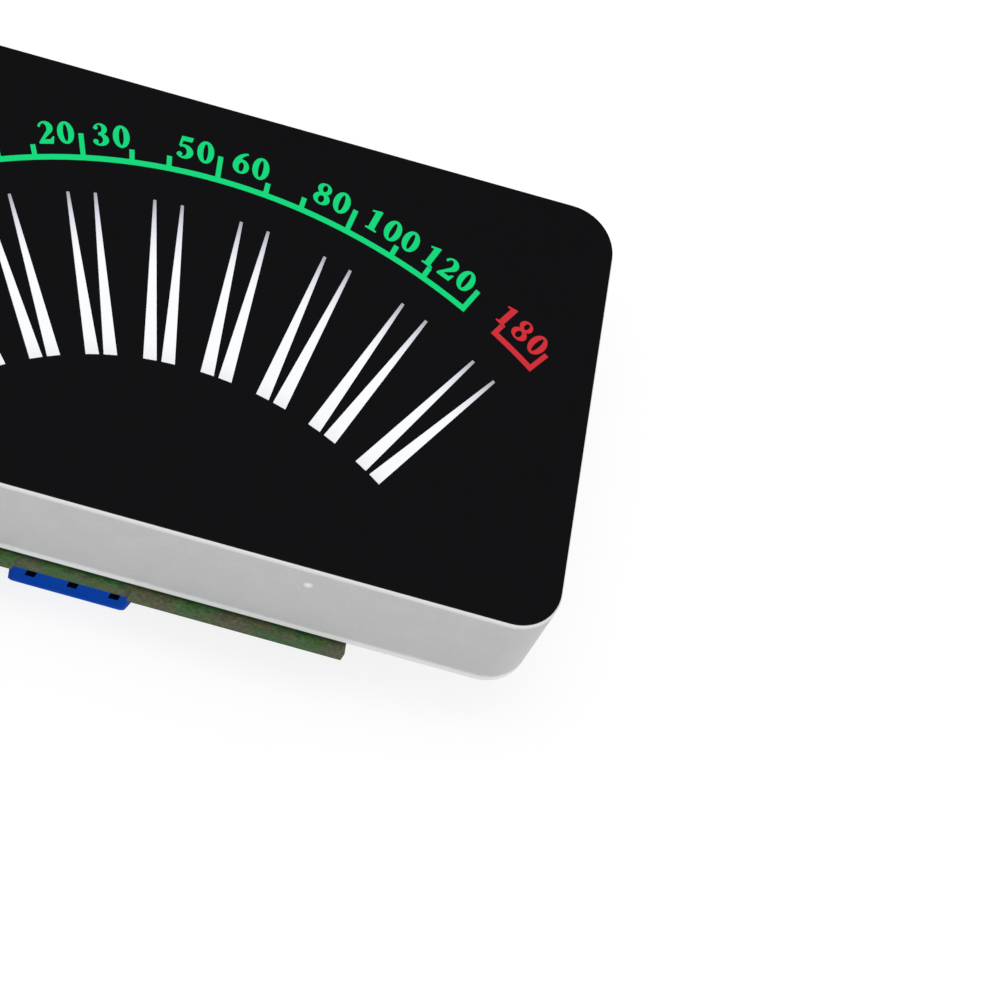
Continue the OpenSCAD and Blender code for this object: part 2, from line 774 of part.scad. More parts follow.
module regulator_tab() {
  tab_w = regulator_w - 2 * regulator_tab_edge;
  leg_w = 0.8;
  leg_l = 1.6;
  color([0.75, 0.76, 0.78])
    on_board(regulator_x, control_y) {
      translate([-tab_w / 2, -regulator_w / 2, 0])
        cube([tab_w, regulator_w + regulator_tab_lip, regulator_tab_t]);
      for (sx = [-1, 1])
        translate([sx * regulator_leg_spread - leg_w / 2, -regulator_w / 2 - leg_l, 0])
          cube([leg_w, leg_l + eps, regulator_tab_t]);
    }
}

// Square base with two cut corners under each reservoir capacitor
module capacitor_bases() {
  half = capacitor_base_w / 2;
  cut = capacitor_base_cut;
  color([0.1, 0.1, 0.11])
    for (sx = [-1, 1])
      on_board(sx * capacitor_x, capacitor_y) linear_extrude(capacitor_base_t)
        polygon([
          [-half, -half], [half, -half], [half, half - cut], [half - cut, half],
          [cut - half, half], [-half, half - cut],
        ]);
}

// Rolled aluminium can with a groove above its base and an eased top edge
module capacitor_cans() {
  r = capacitor_d / 2;
  ease = 0.5;
  groove = 0.45;
  groove_z = capacitor_base_t + 1;
  color([0.78, 0.79, 0.8])
    for (sx = [-1, 1])
      on_board(sx * capacitor_x, capacitor_y) rotate_extrude()
        polygon([
          [0, capacitor_base_t], [r, capacitor_base_t], [r, groove_z],
          [r - groove, groove_z + groove], [r, groove_z + 2 * groove],
          [r, capacitor_h - ease], [r - ease, capacitor_h], [0, capacitor_h],
        ]);
}

// Middle of a small two-ended part standing across its row
module small_part_body(h) {
  body_l = small_part_l - 2 * small_end_l;
  translate([-small_part_w / 2, -body_l / 2, 0]) cube([small_part_w, body_l, h]);
}

module small_part_caps(h) {
  for (s = [-1, 1])
    translate([-small_part_w / 2, s * (small_part_l - small_end_l) / 2 - small_end_l / 2, 0])
      cube([small_part_w, small_end_l, h]);
}

// Places of the resistors and of the ceramic capacitors
module each_resistor() {
  for (x = row_x(upper_row_count)) on_board(x, upper_row_y) children();
  for (x = row_x(lower_row_count)) on_board(x, lower_row_y) children();
}

module each_ceramic() {
  for (x = row_x(bottom_row_count)) on_board(x, bottom_row_y) children();
}

module resistors() {
  color([0.12, 0.12, 0.13]) each_resistor() small_part_body(resistor_h);
}

module ceramic_capacitors() {
  color([0.62, 0.5, 0.36]) each_ceramic() small_part_body(ceramic_h);
}

module small_part_ends() {
  color([0.75, 0.76, 0.78]) {
    each_resistor() small_part_caps(resistor_h);
    each_ceramic() small_part_caps(ceramic_h);
  }
}

// Trimmer bodies with a sunk seat and a bearing for the rotor
module trimmer_bodies() {
  color([0.1, 0.3, 0.65])
    for (x = trimmer_x)
      on_board(x, trimmer_y)
        difference() {
          translate([-trimmer_w / 2, -trimmer_w / 2, 0]) cube([trimmer_w, trimmer_w, trimmer_h]);
          translate([0, 0, trimmer_h - rotor_h - 2 * rotor_fit])
            cylinder(d = rotor_d + 2 * rotor_fit, h = rotor_h + 2 * rotor_fit + eps);
          translate([0, 0, trimmer_h - rotor_h - spindle_l - 4 * rotor_fit])
            cylinder(d = spindle_d + 2 * rotor_fit, h = spindle_l + 4 * rotor_fit);
        }
}

module trimmer_legs() {
  leg_l = driver_board_t + contact_tail;
  color([0.75, 0.76, 0.78])
    each_trimmer_leg() translate([0, 0, rear_z]) cylinder(d = trimmer_leg_w, h = leg_l);
}

// Slotted rotor on its spindle
module gain_rotor(i) {
  seat = trimmer_h - rotor_h - rotor_fit;
  color([0.93, 0.92, 0.88])
    on_board(trimmer_x[i], trimmer_y)
      difference() {
        union() {
          translate([0, 0, seat]) cylinder(d = rotor_d, h = rotor_h);
          translate([0, 0, seat - spindle_l]) cylinder(d = spindle_d, h = spindle_l + eps);
        }
        translate([-driver_slot_w / 2, rotor_slot_edge - rotor_d / 2, seat + rotor_h - driver_slot_d])
          cube([driver_slot_w, rotor_d - 2 * rotor_slot_edge, driver_slot_d + eps]);
      }
}

module left_gain_rotor() {
  gain_rotor(0);
}

module right_gain_rotor() {
  gain_rotor(1);
}

// Plan of a terminal of length l, with its two corners on the wire side rounded
module terminal_plan(l) {
  r = terminal_round;
  translate([-l / 2, r - terminal_front]) square([l, terminal_front + terminal_back - r]);
  translate([r - l / 2, -terminal_front]) square([l - 2 * r, terminal_front]);
  for (s = [-1, 1])
    translate([s * (l / 2 - r), r - terminal_front]) circle(r);
}

// Outline of a terminal of length l as seen from its wire side, with ends that draw in towards the top
module terminal_outline(l) {
  polygon([
    [-l / 2, 0], [l / 2, 0], [l / 2, terminal_h - terminal_taper_h],
    [l / 2 - terminal_taper_w, terminal_h], [terminal_taper_w - l / 2, terminal_h],
    [-l / 2, terminal_h - terminal_taper_h],
  ]);
}

// Terminal housing: one open-bottomed chamber, wire entry and screw well for each pole
module terminal_housing(poles) {
  l = poles * terminal_pitch;
  color([0.03, 0.22, 0.58])
    difference() {
      intersection() {
        translate([-l / 2, 0, 0]) rotate([90, 0, 90]) linear_extrude(l)
          polygon([
            [-terminal_front, 0], [terminal_back, 0], [terminal_back, terminal_h - terminal_chamfer],
            [terminal_back - terminal_chamfer, terminal_h], [-terminal_front, terminal_h],
          ]);
        linear_extrude(terminal_h) terminal_plan(l);
        translate([0, terminal_back, 0]) rotate([90, 0, 0]) linear_extrude(terminal_front + terminal_back)
          terminal_outline(l);
      }
      for (i = [0 : poles - 1])
        translate([(i - (poles - 1) / 2) * terminal_pitch, 0, 0]) pole_space();
    }
}

module pole_space() {
  entry_z = cage_lift + cage_wall;
  entry_cut = front_wall + 2 * eps;
  leg_gap = 0.05;
  translate([-chamber_w / 2, -chamber_front, -eps])
    cube([chamber_w, chamber_front + chamber_back, chamber_top + eps]);
  translate([-entry_w / 2, -terminal_front - eps, entry_z]) cube([entry_w, entry_cut, entry_h]);
  translate([-slot_w / 2, -terminal_front - eps, entry_z])
    cube([slot_w, entry_cut, terminal_h - slot_top - entry_z]);
  translate([-contact_w / 2 - leg_gap, 0, -eps])
    cube([contact_w + 2 * leg_gap, contact_leg_y + contact_t + leg_gap, contact_z1 + leg_gap]);
  translate([0, 0, chamber_top - eps])
    cylinder(d = screw_d + 2 * screw_fit, h = head_z - chamber_top + eps);
  translate([0, 0, head_z - screw_fit])
    cylinder(d = screw_head_d + 2 * screw_fit, h = screw_fit + screw_head_h + screw_sink + eps);
}

module audio_terminal() {
  on_board(audio_x, terminal_y) terminal_housing(audio_poles);
}

module power_terminal() {
  on_board(power_x, terminal_y) terminal_housing(power_poles);
}

// Contact bar through each cage, bent down to a leg through the driver board
module terminal_contacts() {
  bar_front = cage_d / 2 - 0.2;
  color([0.8, 0.68, 0.4])
    each_pole() translate([0, 0, rear_z]) mirror([0, 0, 1]) {
      translate([-contact_w / 2, -bar_front, contact_z0])
        cube([contact_w, bar_front + contact_leg_y + contact_t, contact_t]);
      translate([-contact_leg_w / 2, contact_leg_y, -driver_board_t - contact_tail])
        cube([contact_leg_w, contact_t, contact_z1 + driver_board_t + contact_tail]);
    }
}

// Slotted clamp screw, its tip standing on the contact bar
module clamp_screw() {
  tip_z = contact_z1 + screw_fit;
  color([0.78, 0.79, 0.8])
    difference() {
      union() {
        translate([0, 0, tip_z]) cylinder(d = screw_d, h = head_z - tip_z + eps);
        translate([0, 0, head_z]) cylinder(d = screw_head_d, h = screw_head_h);
      }
      translate([-screw_head_d / 2 - eps, -driver_slot_w / 2, head_z + screw_head_h - driver_slot_d])
        cube([screw_head_d + 2 * eps, driver_slot_w, driver_slot_d + eps]);
    }
}

// Cage that rises on the screw and lifts the wire against the contact bar
module clamp_cage() {
  color([0.8, 0.68, 0.4])
    translate([0, 0, cage_lift])
      difference() {
        translate([-cage_w / 2, -cage_d / 2, 0]) cube([cage_w, cage_d, cage_h]);
        translate([-cage_w / 2 + cage_wall, -cage_d / 2 - eps, cage_wall])
          cube([cage_w - 2 * cage_wall, cage_d + 2 * eps, cage_gap]);
        translate([0, 0, cage_h - cage_top - eps])
          cylinder(d = screw_d + 2 * screw_fit, h = cage_top + 2 * eps);
      }
}

// Pole number i of a terminal with its middle at x
module at_pole(x, poles, i) {
  on_board(x + (i - (poles - 1) / 2) * terminal_pitch, terminal_y) children();
}

module audio_screw_left() {
  at_pole(audio_x, audio_poles, 0) clamp_screw();
}

module audio_screw_ground() {
  at_pole(audio_x, audio_poles, 1) clamp_screw();
}

module audio_screw_right() {
  at_pole(audio_x, audio_poles, 2) clamp_screw();
}

module power_screw_minus() {
  at_pole(power_x, power_poles, 0) clamp_screw();
}

module power_screw_plus() {
  at_pole(power_x, power_poles, 1) clamp_screw();
}

module audio_cage_left() {
  at_pole(audio_x, audio_poles, 0) clamp_cage();
}

module audio_cage_ground() {
  at_pole(audio_x, audio_poles, 1) clamp_cage();
}

module audio_cage_right() {
  at_pole(audio_x, audio_poles, 2) clamp_cage();
}

module power_cage_minus() {
  at_pole(power_x, power_poles, 0) clamp_cage();
}

module power_cage_plus() {
  at_pole(power_x, power_poles, 1) clamp_cage();
}

housing_shell();
face_film();
needle_windows();
scale_lines();
scale_numerals();
overload_lines();
overload_numerals();
lamp_board();
needle_lamps();
link_pins();
link_strips();
driver_board();
solder_joints();
lamp_driver_chip();
control_chip();
preamp_chip();
chip_leads();
regulator();
regulator_tab();
capacitor_bases();
capacitor_cans();
resistors();
ceramic_capacitors();
small_part_ends();
trimmer_bodies();
trimmer_legs();
left_gain_rotor();
right_gain_rotor();
audio_terminal();
power_terminal();
terminal_contacts();
audio_screw_left();
audio_screw_ground();
audio_screw_right();
power_screw_minus();
power_screw_plus();
audio_cage_left();
audio_cage_ground();
audio_cage_right();
power_cage_minus();
power_cage_plus();
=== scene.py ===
"""Looks of a dial level indicator: grey housing, black face, two boards and the parts behind them."""

import logging
import math
from collections.abc import Callable, Iterator, Sequence
from contextlib import contextmanager
from dataclasses import dataclass
from enum import Enum
from functools import cache

import bmesh
import bpy
from mathutils import Matrix, Vector


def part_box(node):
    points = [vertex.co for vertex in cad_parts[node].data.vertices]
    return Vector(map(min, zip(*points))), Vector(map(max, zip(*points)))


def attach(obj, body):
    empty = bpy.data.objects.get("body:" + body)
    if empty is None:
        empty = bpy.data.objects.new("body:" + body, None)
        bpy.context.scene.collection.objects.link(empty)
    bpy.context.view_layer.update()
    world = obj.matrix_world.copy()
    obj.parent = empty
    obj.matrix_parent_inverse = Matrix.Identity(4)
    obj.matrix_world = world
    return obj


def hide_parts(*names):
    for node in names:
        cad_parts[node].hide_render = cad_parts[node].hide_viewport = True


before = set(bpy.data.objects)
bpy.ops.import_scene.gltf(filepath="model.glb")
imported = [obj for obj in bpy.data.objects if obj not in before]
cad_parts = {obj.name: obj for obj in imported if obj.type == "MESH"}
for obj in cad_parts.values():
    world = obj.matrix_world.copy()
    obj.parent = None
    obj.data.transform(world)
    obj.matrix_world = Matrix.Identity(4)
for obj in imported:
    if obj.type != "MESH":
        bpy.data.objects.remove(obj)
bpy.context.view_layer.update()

LOG = logging.getLogger("level_indicator")
MM = 0.001
NEAR = 0.01 * MM
MERGE = 0.001 * MM
FLAT_ANGLE = math.radians(0.5)
FACING = 0.9
NOISE_SPAN = (0.3, 0.7)
GRAIN_SPAN = (0.36, 0.64)
WHITE = (1.0, 1.0, 1.0, 1.0)
ROOT = "display"

Colour = tuple[float, float, float, float]
Point = tuple[float, float]
Place = tuple[float, float, float]
Track = tuple[list[Point], float]


class Slot(str, Enum):
    """Names of the record's material slots."""

    HOUSING = "housing_grey"
    BOARD = "board_green"
    SOLDER = "solder_tin"
    CHIP = "chip_black"
    CAN = "can_aluminium"
    BASE = "base_black"
    RESISTOR = "resistor_black"
    CERAMIC = "ceramic_tan"
    TRIMMER = "trimmer_blue"
    ROTOR = "rotor_ivory"
    TERMINAL = "terminal_blue"
    SCREW = "screw_steel"
    PRINT = "window_white"


class Socket(str, Enum):
    """Kinds of socket on the node groups."""

    COLOUR = "NodeSocketColor"
    VALUE = "NodeSocketFloat"
    VECTOR = "NodeSocketVector"


SURFACE = {"Colour": Socket.COLOUR, "Roughness": Socket.VALUE, "Height": Socket.VALUE}
TINT = {"Colour": Socket.COLOUR}


def srgb(red: int, green: int, blue: int) -> Colour:
    """Turns an sRGB colour into a linear one.

    Args:
        red: Red, 0 to 255.
        green: Green, 0 to 255.
        blue: Blue, 0 to 255.

    Returns:
        The linear colour, opaque.
    """
    shares = [value / 255 for value in (red, green, blue)]
    linear = [s / 12.92 if s <= 0.04045 else ((s + 0.055) / 1.055) ** 2.4 for s in shares]
    return (linear[0], linear[1], linear[2], 1.0)


# Node graphs


class Graph:
    """Adds and links the nodes of one material, world or node group."""

    def __init__(self, tree: bpy.types.NodeTree) -> None:
        """Takes the node tree to work on."""
        self.tree = tree

    def feed(self, socket: bpy.types.NodeSocket, value: object) -> None:
        """Links a socket to an input, or sets the input's value.

        Args:
            socket: The input.
            value: A socket, a number, a colour or a vector.
        """
        if isinstance(value, bpy.types.NodeSocket):
            self.tree.links.new(value, socket)
        else:
            socket.default_value = value

    def fill(self, sockets: bpy.types.NodeInputs, **values: object) -> None:
        """Feeds inputs that are named with underscores for spaces."""
        for name, value in values.items():
            self.feed(sockets[name.replace("_", " ")], value)

    def feed_row(self, node: bpy.types.Node, first: int, *values: object) -> bpy.types.NodeOutputs:
        """Feeds a node's inputs in order, from the one with the first number, and gives its outputs."""
        for index, value in enumerate(values, first):
            self.feed(node.inputs[index], value)
        return node.outputs

    def add(
        self, kind: str, settings: dict[str, object] | None = None, **inputs: object
    ) -> bpy.types.Node:
        """Adds a node.

        Args:
            kind: Type name of the node.
            settings: Properties of the node.
            inputs: Values of its inputs, named with underscores for spaces.

        Returns:
            The node.
        """
        node = self.tree.nodes.new(kind)
        for name, value in (settings or {}).items():
            setattr(node, name, value)
        self.fill(node.inputs, **inputs)
        return node

    def sum(self, operation: str, first: object, second: object = 0.0) -> bpy.types.NodeSocket:
        """Adds a math node on values or sockets, and gives its result."""
        return self.feed_row(self.add("ShaderNodeMath", {"operation": operation}), 0, first, second)[0]

    def vector(self, operation: str, first: object, second: object) -> bpy.types.NodeOutputs:
        """Adds a vector math node on vectors or sockets, and gives its outputs."""
        return self.feed_row(self.add("ShaderNodeVectorMath", {"operation": operation}), 0, first, second)

    def blend(self, share: object, first: object, second: object) -> bpy.types.NodeSocket:
        """Adds a mix of two colours with this share of the second, and gives the mixed colour."""
        node = self.add("ShaderNodeMix", {"data_type": "RGBA"}, Factor=share)
        return self.feed_row(node, 6, first, second)[2]

    def spread(self, value: object, source: Point, low: object, high: object) -> bpy.types.NodeSocket:
        """Adds a clamped map of a value from a range to low and high, and gives the result."""
        node = self.add("ShaderNodeMapRange", Value=value, From_Min=source[0], From_Max=source[1],
                        To_Min=low, To_Max=high)
        return node.outputs["Result"]

    def noise(self, scale: object, detail: float = 2.0, vector: object = None) -> bpy.types.NodeSocket:
        """Adds noise with so many features to the metre, on object coordinates unless others are given."""
        place = self.place() if vector is None else vector
        return self.add("ShaderNodeTexNoise", Vector=place, Scale=scale, Detail=detail).outputs[0]

    def place(self) -> bpy.types.NodeSocket:
        """Gives the object coordinates."""
        return self.add("ShaderNodeTexCoord").outputs["Object"]

    def axis(self, name: str) -> bpy.types.NodeSocket:
        """Gives one of the object coordinates, named X, Y or Z."""
        return self.add("ShaderNodeSeparateXYZ", Vector=self.place()).outputs[name]


def start_group(
    name: str, inputs: dict[str, Socket], outputs: dict[str, Socket]
) -> tuple[Graph, bpy.types.NodeOutputs, bpy.types.NodeInputs]:
    """Starts a node group.

    Args:
        name: Name of the group.
        inputs: Its input sockets.
        outputs: Its output sockets.

    Returns:
        The group's graph, the sockets that come in and those that go out.
    """
    tree = bpy.data.node_groups.new(name, "ShaderNodeTree")
    for way, sockets in (("INPUT", inputs), ("OUTPUT", outputs)):
        for label, kind in sockets.items():
            tree.interface.new_socket(label, in_out=way, socket_type=kind.value)
    graph = Graph(tree)
    return graph, graph.add("NodeGroupInput").outputs, graph.add("NodeGroupOutput").inputs


@cache
def grain_group() -> bpy.types.NodeTree:
    """Builds the moulded grain: broad mottling, fine grain and the relief of the grain.

    Returns:
        The group.
    """
    graph, taken, given = start_group(
        "moulded_grain",
        {"Colour": Socket.COLOUR, "Mottle": Socket.VALUE, "Scale": Socket.VALUE,
         "Smooth": Socket.VALUE, "Rough": Socket.VALUE},
        SURFACE)
    fine = graph.noise(taken["Scale"], 3.0)
    broad = graph.noise(graph.sum("MULTIPLY", taken["Scale"], 0.12))
    both = graph.sum("MULTIPLY", graph.sum("ADD", fine, broad), 0.5)
    least = graph.sum("SUBTRACT", 1.0, taken["Mottle"])
    most = graph.sum("ADD", 1.0, taken["Mottle"])
    shade = graph.spread(both, GRAIN_SPAN, least, most)
    tint = graph.add("ShaderNodeHueSaturation", Value=shade, Color=taken["Colour"])
    graph.fill(given, Colour=tint.outputs[0], Height=fine,
               Roughness=graph.spread(both, GRAIN_SPAN, taken["Smooth"], taken["Rough"]))
    return graph.tree


@cache
def highlight_line_group() -> bpy.types.NodeTree:
    """Builds a painted highlight: a paler, broken line round a piece at one height.

    Returns:
        The group.
    """
    graph, taken, given = start_group(
        "painted_highlight_line",
        {"Colour": Socket.COLOUR, "Worn": Socket.COLOUR, "Level": Socket.VALUE, "Width": Socket.VALUE},
        TINT)
    off = graph.sum("ABSOLUTE", graph.sum("SUBTRACT", graph.axis("Z"), taken["Level"]))
    share = graph.sum("DIVIDE", off, taken["Width"])
    ragged = graph.sum("ADD", share, graph.spread(graph.noise(900.0), NOISE_SPAN, -0.05, 0.05))
    line = graph.spread(ragged, (0.55, 1.0), 1.0, 0.0)
    graph.feed(given["Colour"], graph.blend(line, taken["Colour"], taken["Worn"]))
    return graph.tree


@cache
def spot_group() -> bpy.types.NodeTree:
    """Builds a small soft spot at one place.

    Returns:
        The group.
    """
    graph, taken, given = start_group(
        "soft_spot",
        {"Colour": Socket.COLOUR, "Spot": Socket.COLOUR, "Place": Socket.VECTOR, "Radius": Socket.VALUE},
        TINT)
    away = graph.vector("DISTANCE", graph.place(), taken["Place"])["Value"]
    share = graph.sum("DIVIDE", away, taken["Radius"])
    mask = graph.spread(share, (0.3, 1.0), 1.0, 0.0)
    graph.feed(given["Colour"], graph.blend(mask, taken["Colour"], taken["Spot"]))
    return graph.tree


@cache
def board_group() -> bpy.types.NodeTree:
    """Builds a circuit board: woven resist on the faces, mottled laminate along and on the sawn edges.

    Returns:
        The group.
    """
    graph, taken, given = start_group(
        "board_layers",
        {"Resist": Socket.COLOUR, "Line": Socket.COLOUR, "Laminate": Socket.COLOUR, "Patch": Socket.COLOUR,
         "Low": Socket.VECTOR, "High": Socket.VECTOR, "Bare": Socket.VALUE},
        SURFACE)
    lows = graph.add("ShaderNodeSeparateXYZ", Vector=taken["Low"]).outputs
    highs = graph.add("ShaderNodeSeparateXYZ", Vector=taken["High"]).outputs
    inset = {name: graph.sum("MINIMUM", graph.sum("SUBTRACT", graph.axis(name), lows[name]),
                             graph.sum("SUBTRACT", highs[name], graph.axis(name))) for name in "XYZ"}
    weave_pitch, cloth_scale, ragged_scale, patch_scale, speck_scale = 5200.0, 420.0, 900.0, 150.0, 2600.0
    fibre_scale = (700.0, 700.0, 5200.0)
    resist_depth, line_depth = (0.02 * MM, 0.05 * MM), (0.1 * MM, 0.2 * MM)
    rear_depth = (0.05 * MM, 0.5 * MM)
    rear_share = 0.15
    sawn = graph.spread(inset["Z"], resist_depth, 0.0, 1.0)
    inner = graph.spread(inset["Z"], line_depth, 0.0, 1.0)
    ragged = graph.spread(graph.noise(ragged_scale), NOISE_SPAN, 0.85, 1.15)
    above_rear = graph.sum("SUBTRACT", graph.axis("Z"), lows["Z"])
    width = graph.sum("MULTIPLY", taken["Bare"], graph.spread(above_rear, rear_depth, rear_share, 1.0))
    margin = graph.sum("DIVIDE", graph.sum("MINIMUM", inset["X"], inset["Y"]),
                       graph.sum("MULTIPLY", width, ragged))
    bare = graph.sum("MAXIMUM", sawn, graph.spread(margin, (0.9, 1.0), 1.0, 0.0))
    layers = graph.add("ShaderNodeMapping", Vector=graph.place(), Scale=fibre_scale)
    fibres = graph.noise(1.0, 3.0, layers.outputs[0])
    threads = [graph.sum("SINE", graph.sum("MULTIPLY", graph.axis(name), weave_pitch)) for name in "XY"]
    weave = graph.sum("MULTIPLY", *threads)
    cloth = graph.sum("ADD", graph.sum("MULTIPLY", weave, 0.025),
                      graph.spread(graph.noise(cloth_scale), NOISE_SPAN, 0.93, 1.07))
    resist = graph.add("ShaderNodeHueSaturation", Value=cloth, Color=taken["Resist"])
    patches = graph.spread(graph.noise(patch_scale, 3.0), (0.46, 0.58), 0.0, 1.0)
    mixed = graph.blend(patches, taken["Laminate"], taken["Patch"])
    fine = graph.sum("MULTIPLY", graph.spread(fibres, NOISE_SPAN, 0.8, 1.2),
                     graph.spread(graph.noise(speck_scale), NOISE_SPAN, 0.6, 1.4))
    core = graph.add("ShaderNodeHueSaturation", Value=fine, Color=mixed)
    past_line = graph.sum("MAXIMUM", inner, graph.sum("SUBTRACT", 1.0, sawn))
    edge = graph.blend(past_line, taken["Line"], core.outputs[0])
    faces = graph.spread(graph.noise(ragged_scale), NOISE_SPAN, 0.3, 0.42)
    graph.fill(given, Colour=graph.blend(bare, resist.outputs[0], edge),
               Roughness=graph.spread(sawn, (0.0, 1.0), faces, 0.8),
               Height=graph.sum("ADD", fibres, graph.sum("MULTIPLY", weave, 0.2)))
    return graph.tree


@cache
def metal_group() -> bpy.types.NodeTree:
    """Builds a plated or drawn metal: streaks along one direction, with duller patches.

    Returns:
        The group.
    """
    graph, taken, given = start_group(
        "plated_metal",
        {"Colour": Socket.COLOUR, "Dull": Socket.COLOUR, "Streaks": Socket.VECTOR,
         "Smooth": Socket.VALUE, "Rough": Socket.VALUE},
        SURFACE)
    streaks = graph.noise(1.0, 3.0, graph.vector("MULTIPLY", graph.place(), taken["Streaks"])[0])
    patches = graph.noise(600.0)
    share = graph.spread(graph.sum("MULTIPLY", streaks, patches), (0.16, 0.34), 0.0, 1.0)
    graph.fill(given, Colour=graph.blend(share, taken["Dull"], taken["Colour"]), Height=streaks,
               Roughness=graph.spread(share, (0.0, 1.0), taken["Rough"], taken["Smooth"]))
    return graph.tree


@cache
def ink_group() -> bpy.types.NodeTree:
    """Builds screened ink: a faint mesh and slight changes in how thick the ink lies.

    Returns:
        The group.
    """
    graph, taken, given = start_group(
        "screened_ink",
        {"Colour": Socket.COLOUR, "Thin": Socket.COLOUR, "Mesh": Socket.VALUE},
        {**TINT, "Roughness": Socket.VALUE})
    threads = [graph.sum("SINE", graph.sum("MULTIPLY", graph.axis(name), taken["Mesh"])) for name in "XY"]
    mesh = graph.spread(graph.sum("MULTIPLY", *threads), (-1.0, 1.0), 0.0, 0.35)
    share = graph.sum("MULTIPLY", mesh, graph.noise(700.0))
    graph.fill(given, Colour=graph.blend(share, taken["Colour"], taken["Thin"]),
               Roughness=graph.spread(share, (0.0, 0.3), 0.5, 0.65))
    return graph.tree


# Finishes


def start_graph(owner: bpy.types.Material | bpy.types.World) -> Graph:
    """Gives a material or a world an empty graph.

    Args:
        owner: The material or world.

    Returns:
        Its graph.
    """
    owner.use_nodes = True
    owner.node_tree.nodes.clear()
    return Graph(owner.node_tree)


def use_group(graph: Graph, group: bpy.types.NodeTree, **inputs: object) -> bpy.types.NodeOutputs:
    """Places a shared group in a material's graph, with its inputs, and gives its outputs."""
    return graph.add("ShaderNodeGroup", {"node_tree": group}, **inputs).outputs


def bump(graph: Graph, height: bpy.types.NodeSocket, depth: float) -> bpy.types.NodeSocket:
    """Turns a height into the normal of a relief with this depth in metres."""
    return graph.add("ShaderNodeBump", Strength=1.0, Distance=depth, Height=height).outputs[0]


@dataclass(frozen=True)
class Finish:
    """A surface that builds its material once."""

    name: str

    def look(self, graph: Graph) -> dict[str, object]:
        """Adds the nodes of one kind of finish and gives the inputs of its shader."""
        raise NotImplementedError

    @cache
    def material(self) -> bpy.types.Material:
        """Builds the material.

        Returns:
            The material.
        """
        material = bpy.data.materials.new(f"{self.name}_finish")
        graph = start_graph(material)
        shader = graph.add("ShaderNodeBsdfPrincipled", **self.look(graph))
        graph.add("ShaderNodeOutputMaterial", Surface=shader.outputs[0])
        return material


@dataclass(frozen=True)
class WornEdge:
    """Painted highlight: a pale line at one height of a moulding."""

    colour: Colour
    level: float
    width: float


@dataclass(frozen=True)
class Spot:
    """Small pale spot at one place on a moulding."""

    colour: Colour
    place: Place
    radius: float


@dataclass(frozen=True)
class Moulded(Finish):
    """Moulded or glazed finish with a fine grain."""

    colour: Colour
    mottle: float = 0.04
    scale: float = 2600.0
    smooth: float = 0.42
    rough: float = 0.58
    relief: float = 0.012 * MM
    specular: float = 0.4
    painted_highlights: tuple[WornEdge, ...] = ()
    spots: tuple[Spot, ...] = ()

    def look(self, graph: Graph) -> dict[str, object]:
        """Adds the nodes and gives the inputs of the shader.

        Args:
            graph: Graph of the material.

        Returns:
            The inputs.
        """
        grain = use_group(graph, grain_group(), Colour=self.colour, Mottle=self.mottle, Scale=self.scale,
                          Smooth=self.smooth, Rough=self.rough)
        colour = grain["Colour"]
        # Each line is a painted highlight round the piece at one height.
        for edge in self.painted_highlights:
            colour = use_group(graph, highlight_line_group(), Colour=colour, Worn=edge.colour, Level=edge.level,
                               Width=edge.width)["Colour"]
        for spot in self.spots:
            colour = use_group(graph, spot_group(), Colour=colour, Spot=spot.colour, Place=spot.place,
                               Radius=spot.radius)["Colour"]
        return {"Base_Color": colour, "Roughness": grain["Roughness"], "Specular_IOR_Level": self.specular,
                "Normal": bump(graph, grain["Height"], self.relief)}


@dataclass(frozen=True)
class Laminate(Finish):
    """Circuit board with green resist and bare sawn edges."""

    node: str
    resist: Colour
    line: Colour
    laminate: Colour
    patch: Colour
    bare: float
    relief: float = 0.01 * MM

    def look(self, graph: Graph) -> dict[str, object]:
        """Adds the nodes and gives the inputs of the shader."""
        board = use_group(graph, board_group(), Resist=self.resist, Line=self.line, Laminate=self.laminate,
                          Patch=self.patch, Bare=self.bare, Low=box(self.node)[0],
                          High=box(self.node)[1])
        return {"Base_Color": board["Colour"], "Roughness": board["Roughness"],
                "Normal": bump(graph, board["Height"], self.relief)}


@dataclass(frozen=True)
class Metal(Finish):
    """Plated, tinned or drawn metal."""

    colour: Colour
    dull: Colour
    streaks: Place = (2500.0, 2500.0, 400.0)
    smooth: float = 0.22
    rough: float = 0.42
    relief: float = 0.004 * MM

    def look(self, graph: Graph) -> dict[str, object]:
        """Adds the nodes and gives the inputs of the shader."""
        metal = use_group(graph, metal_group(), Colour=self.colour, Dull=self.dull, Streaks=self.streaks,
                          Smooth=self.smooth, Rough=self.rough)
        return {"Base_Color": metal["Colour"], "Roughness": metal["Roughness"], "Metallic": 1.0,
                "Normal": bump(graph, metal["Height"], self.relief)}


@dataclass(frozen=True)
class Ink(Finish):
    """Screen-printed ink."""

    colour: Colour
    thin: Colour
    mesh: float = 26000.0
    specular: float = 0.08

    def look(self, graph: Graph) -> dict[str, object]:
        """Adds the nodes and gives the inputs of the shader."""
        ink = use_group(graph, ink_group(), Colour=self.colour, Thin=self.thin, Mesh=self.mesh)
        return {"Base_Color": ink["Colour"], "Roughness": ink["Roughness"],
                "Specular_IOR_Level": self.specular}


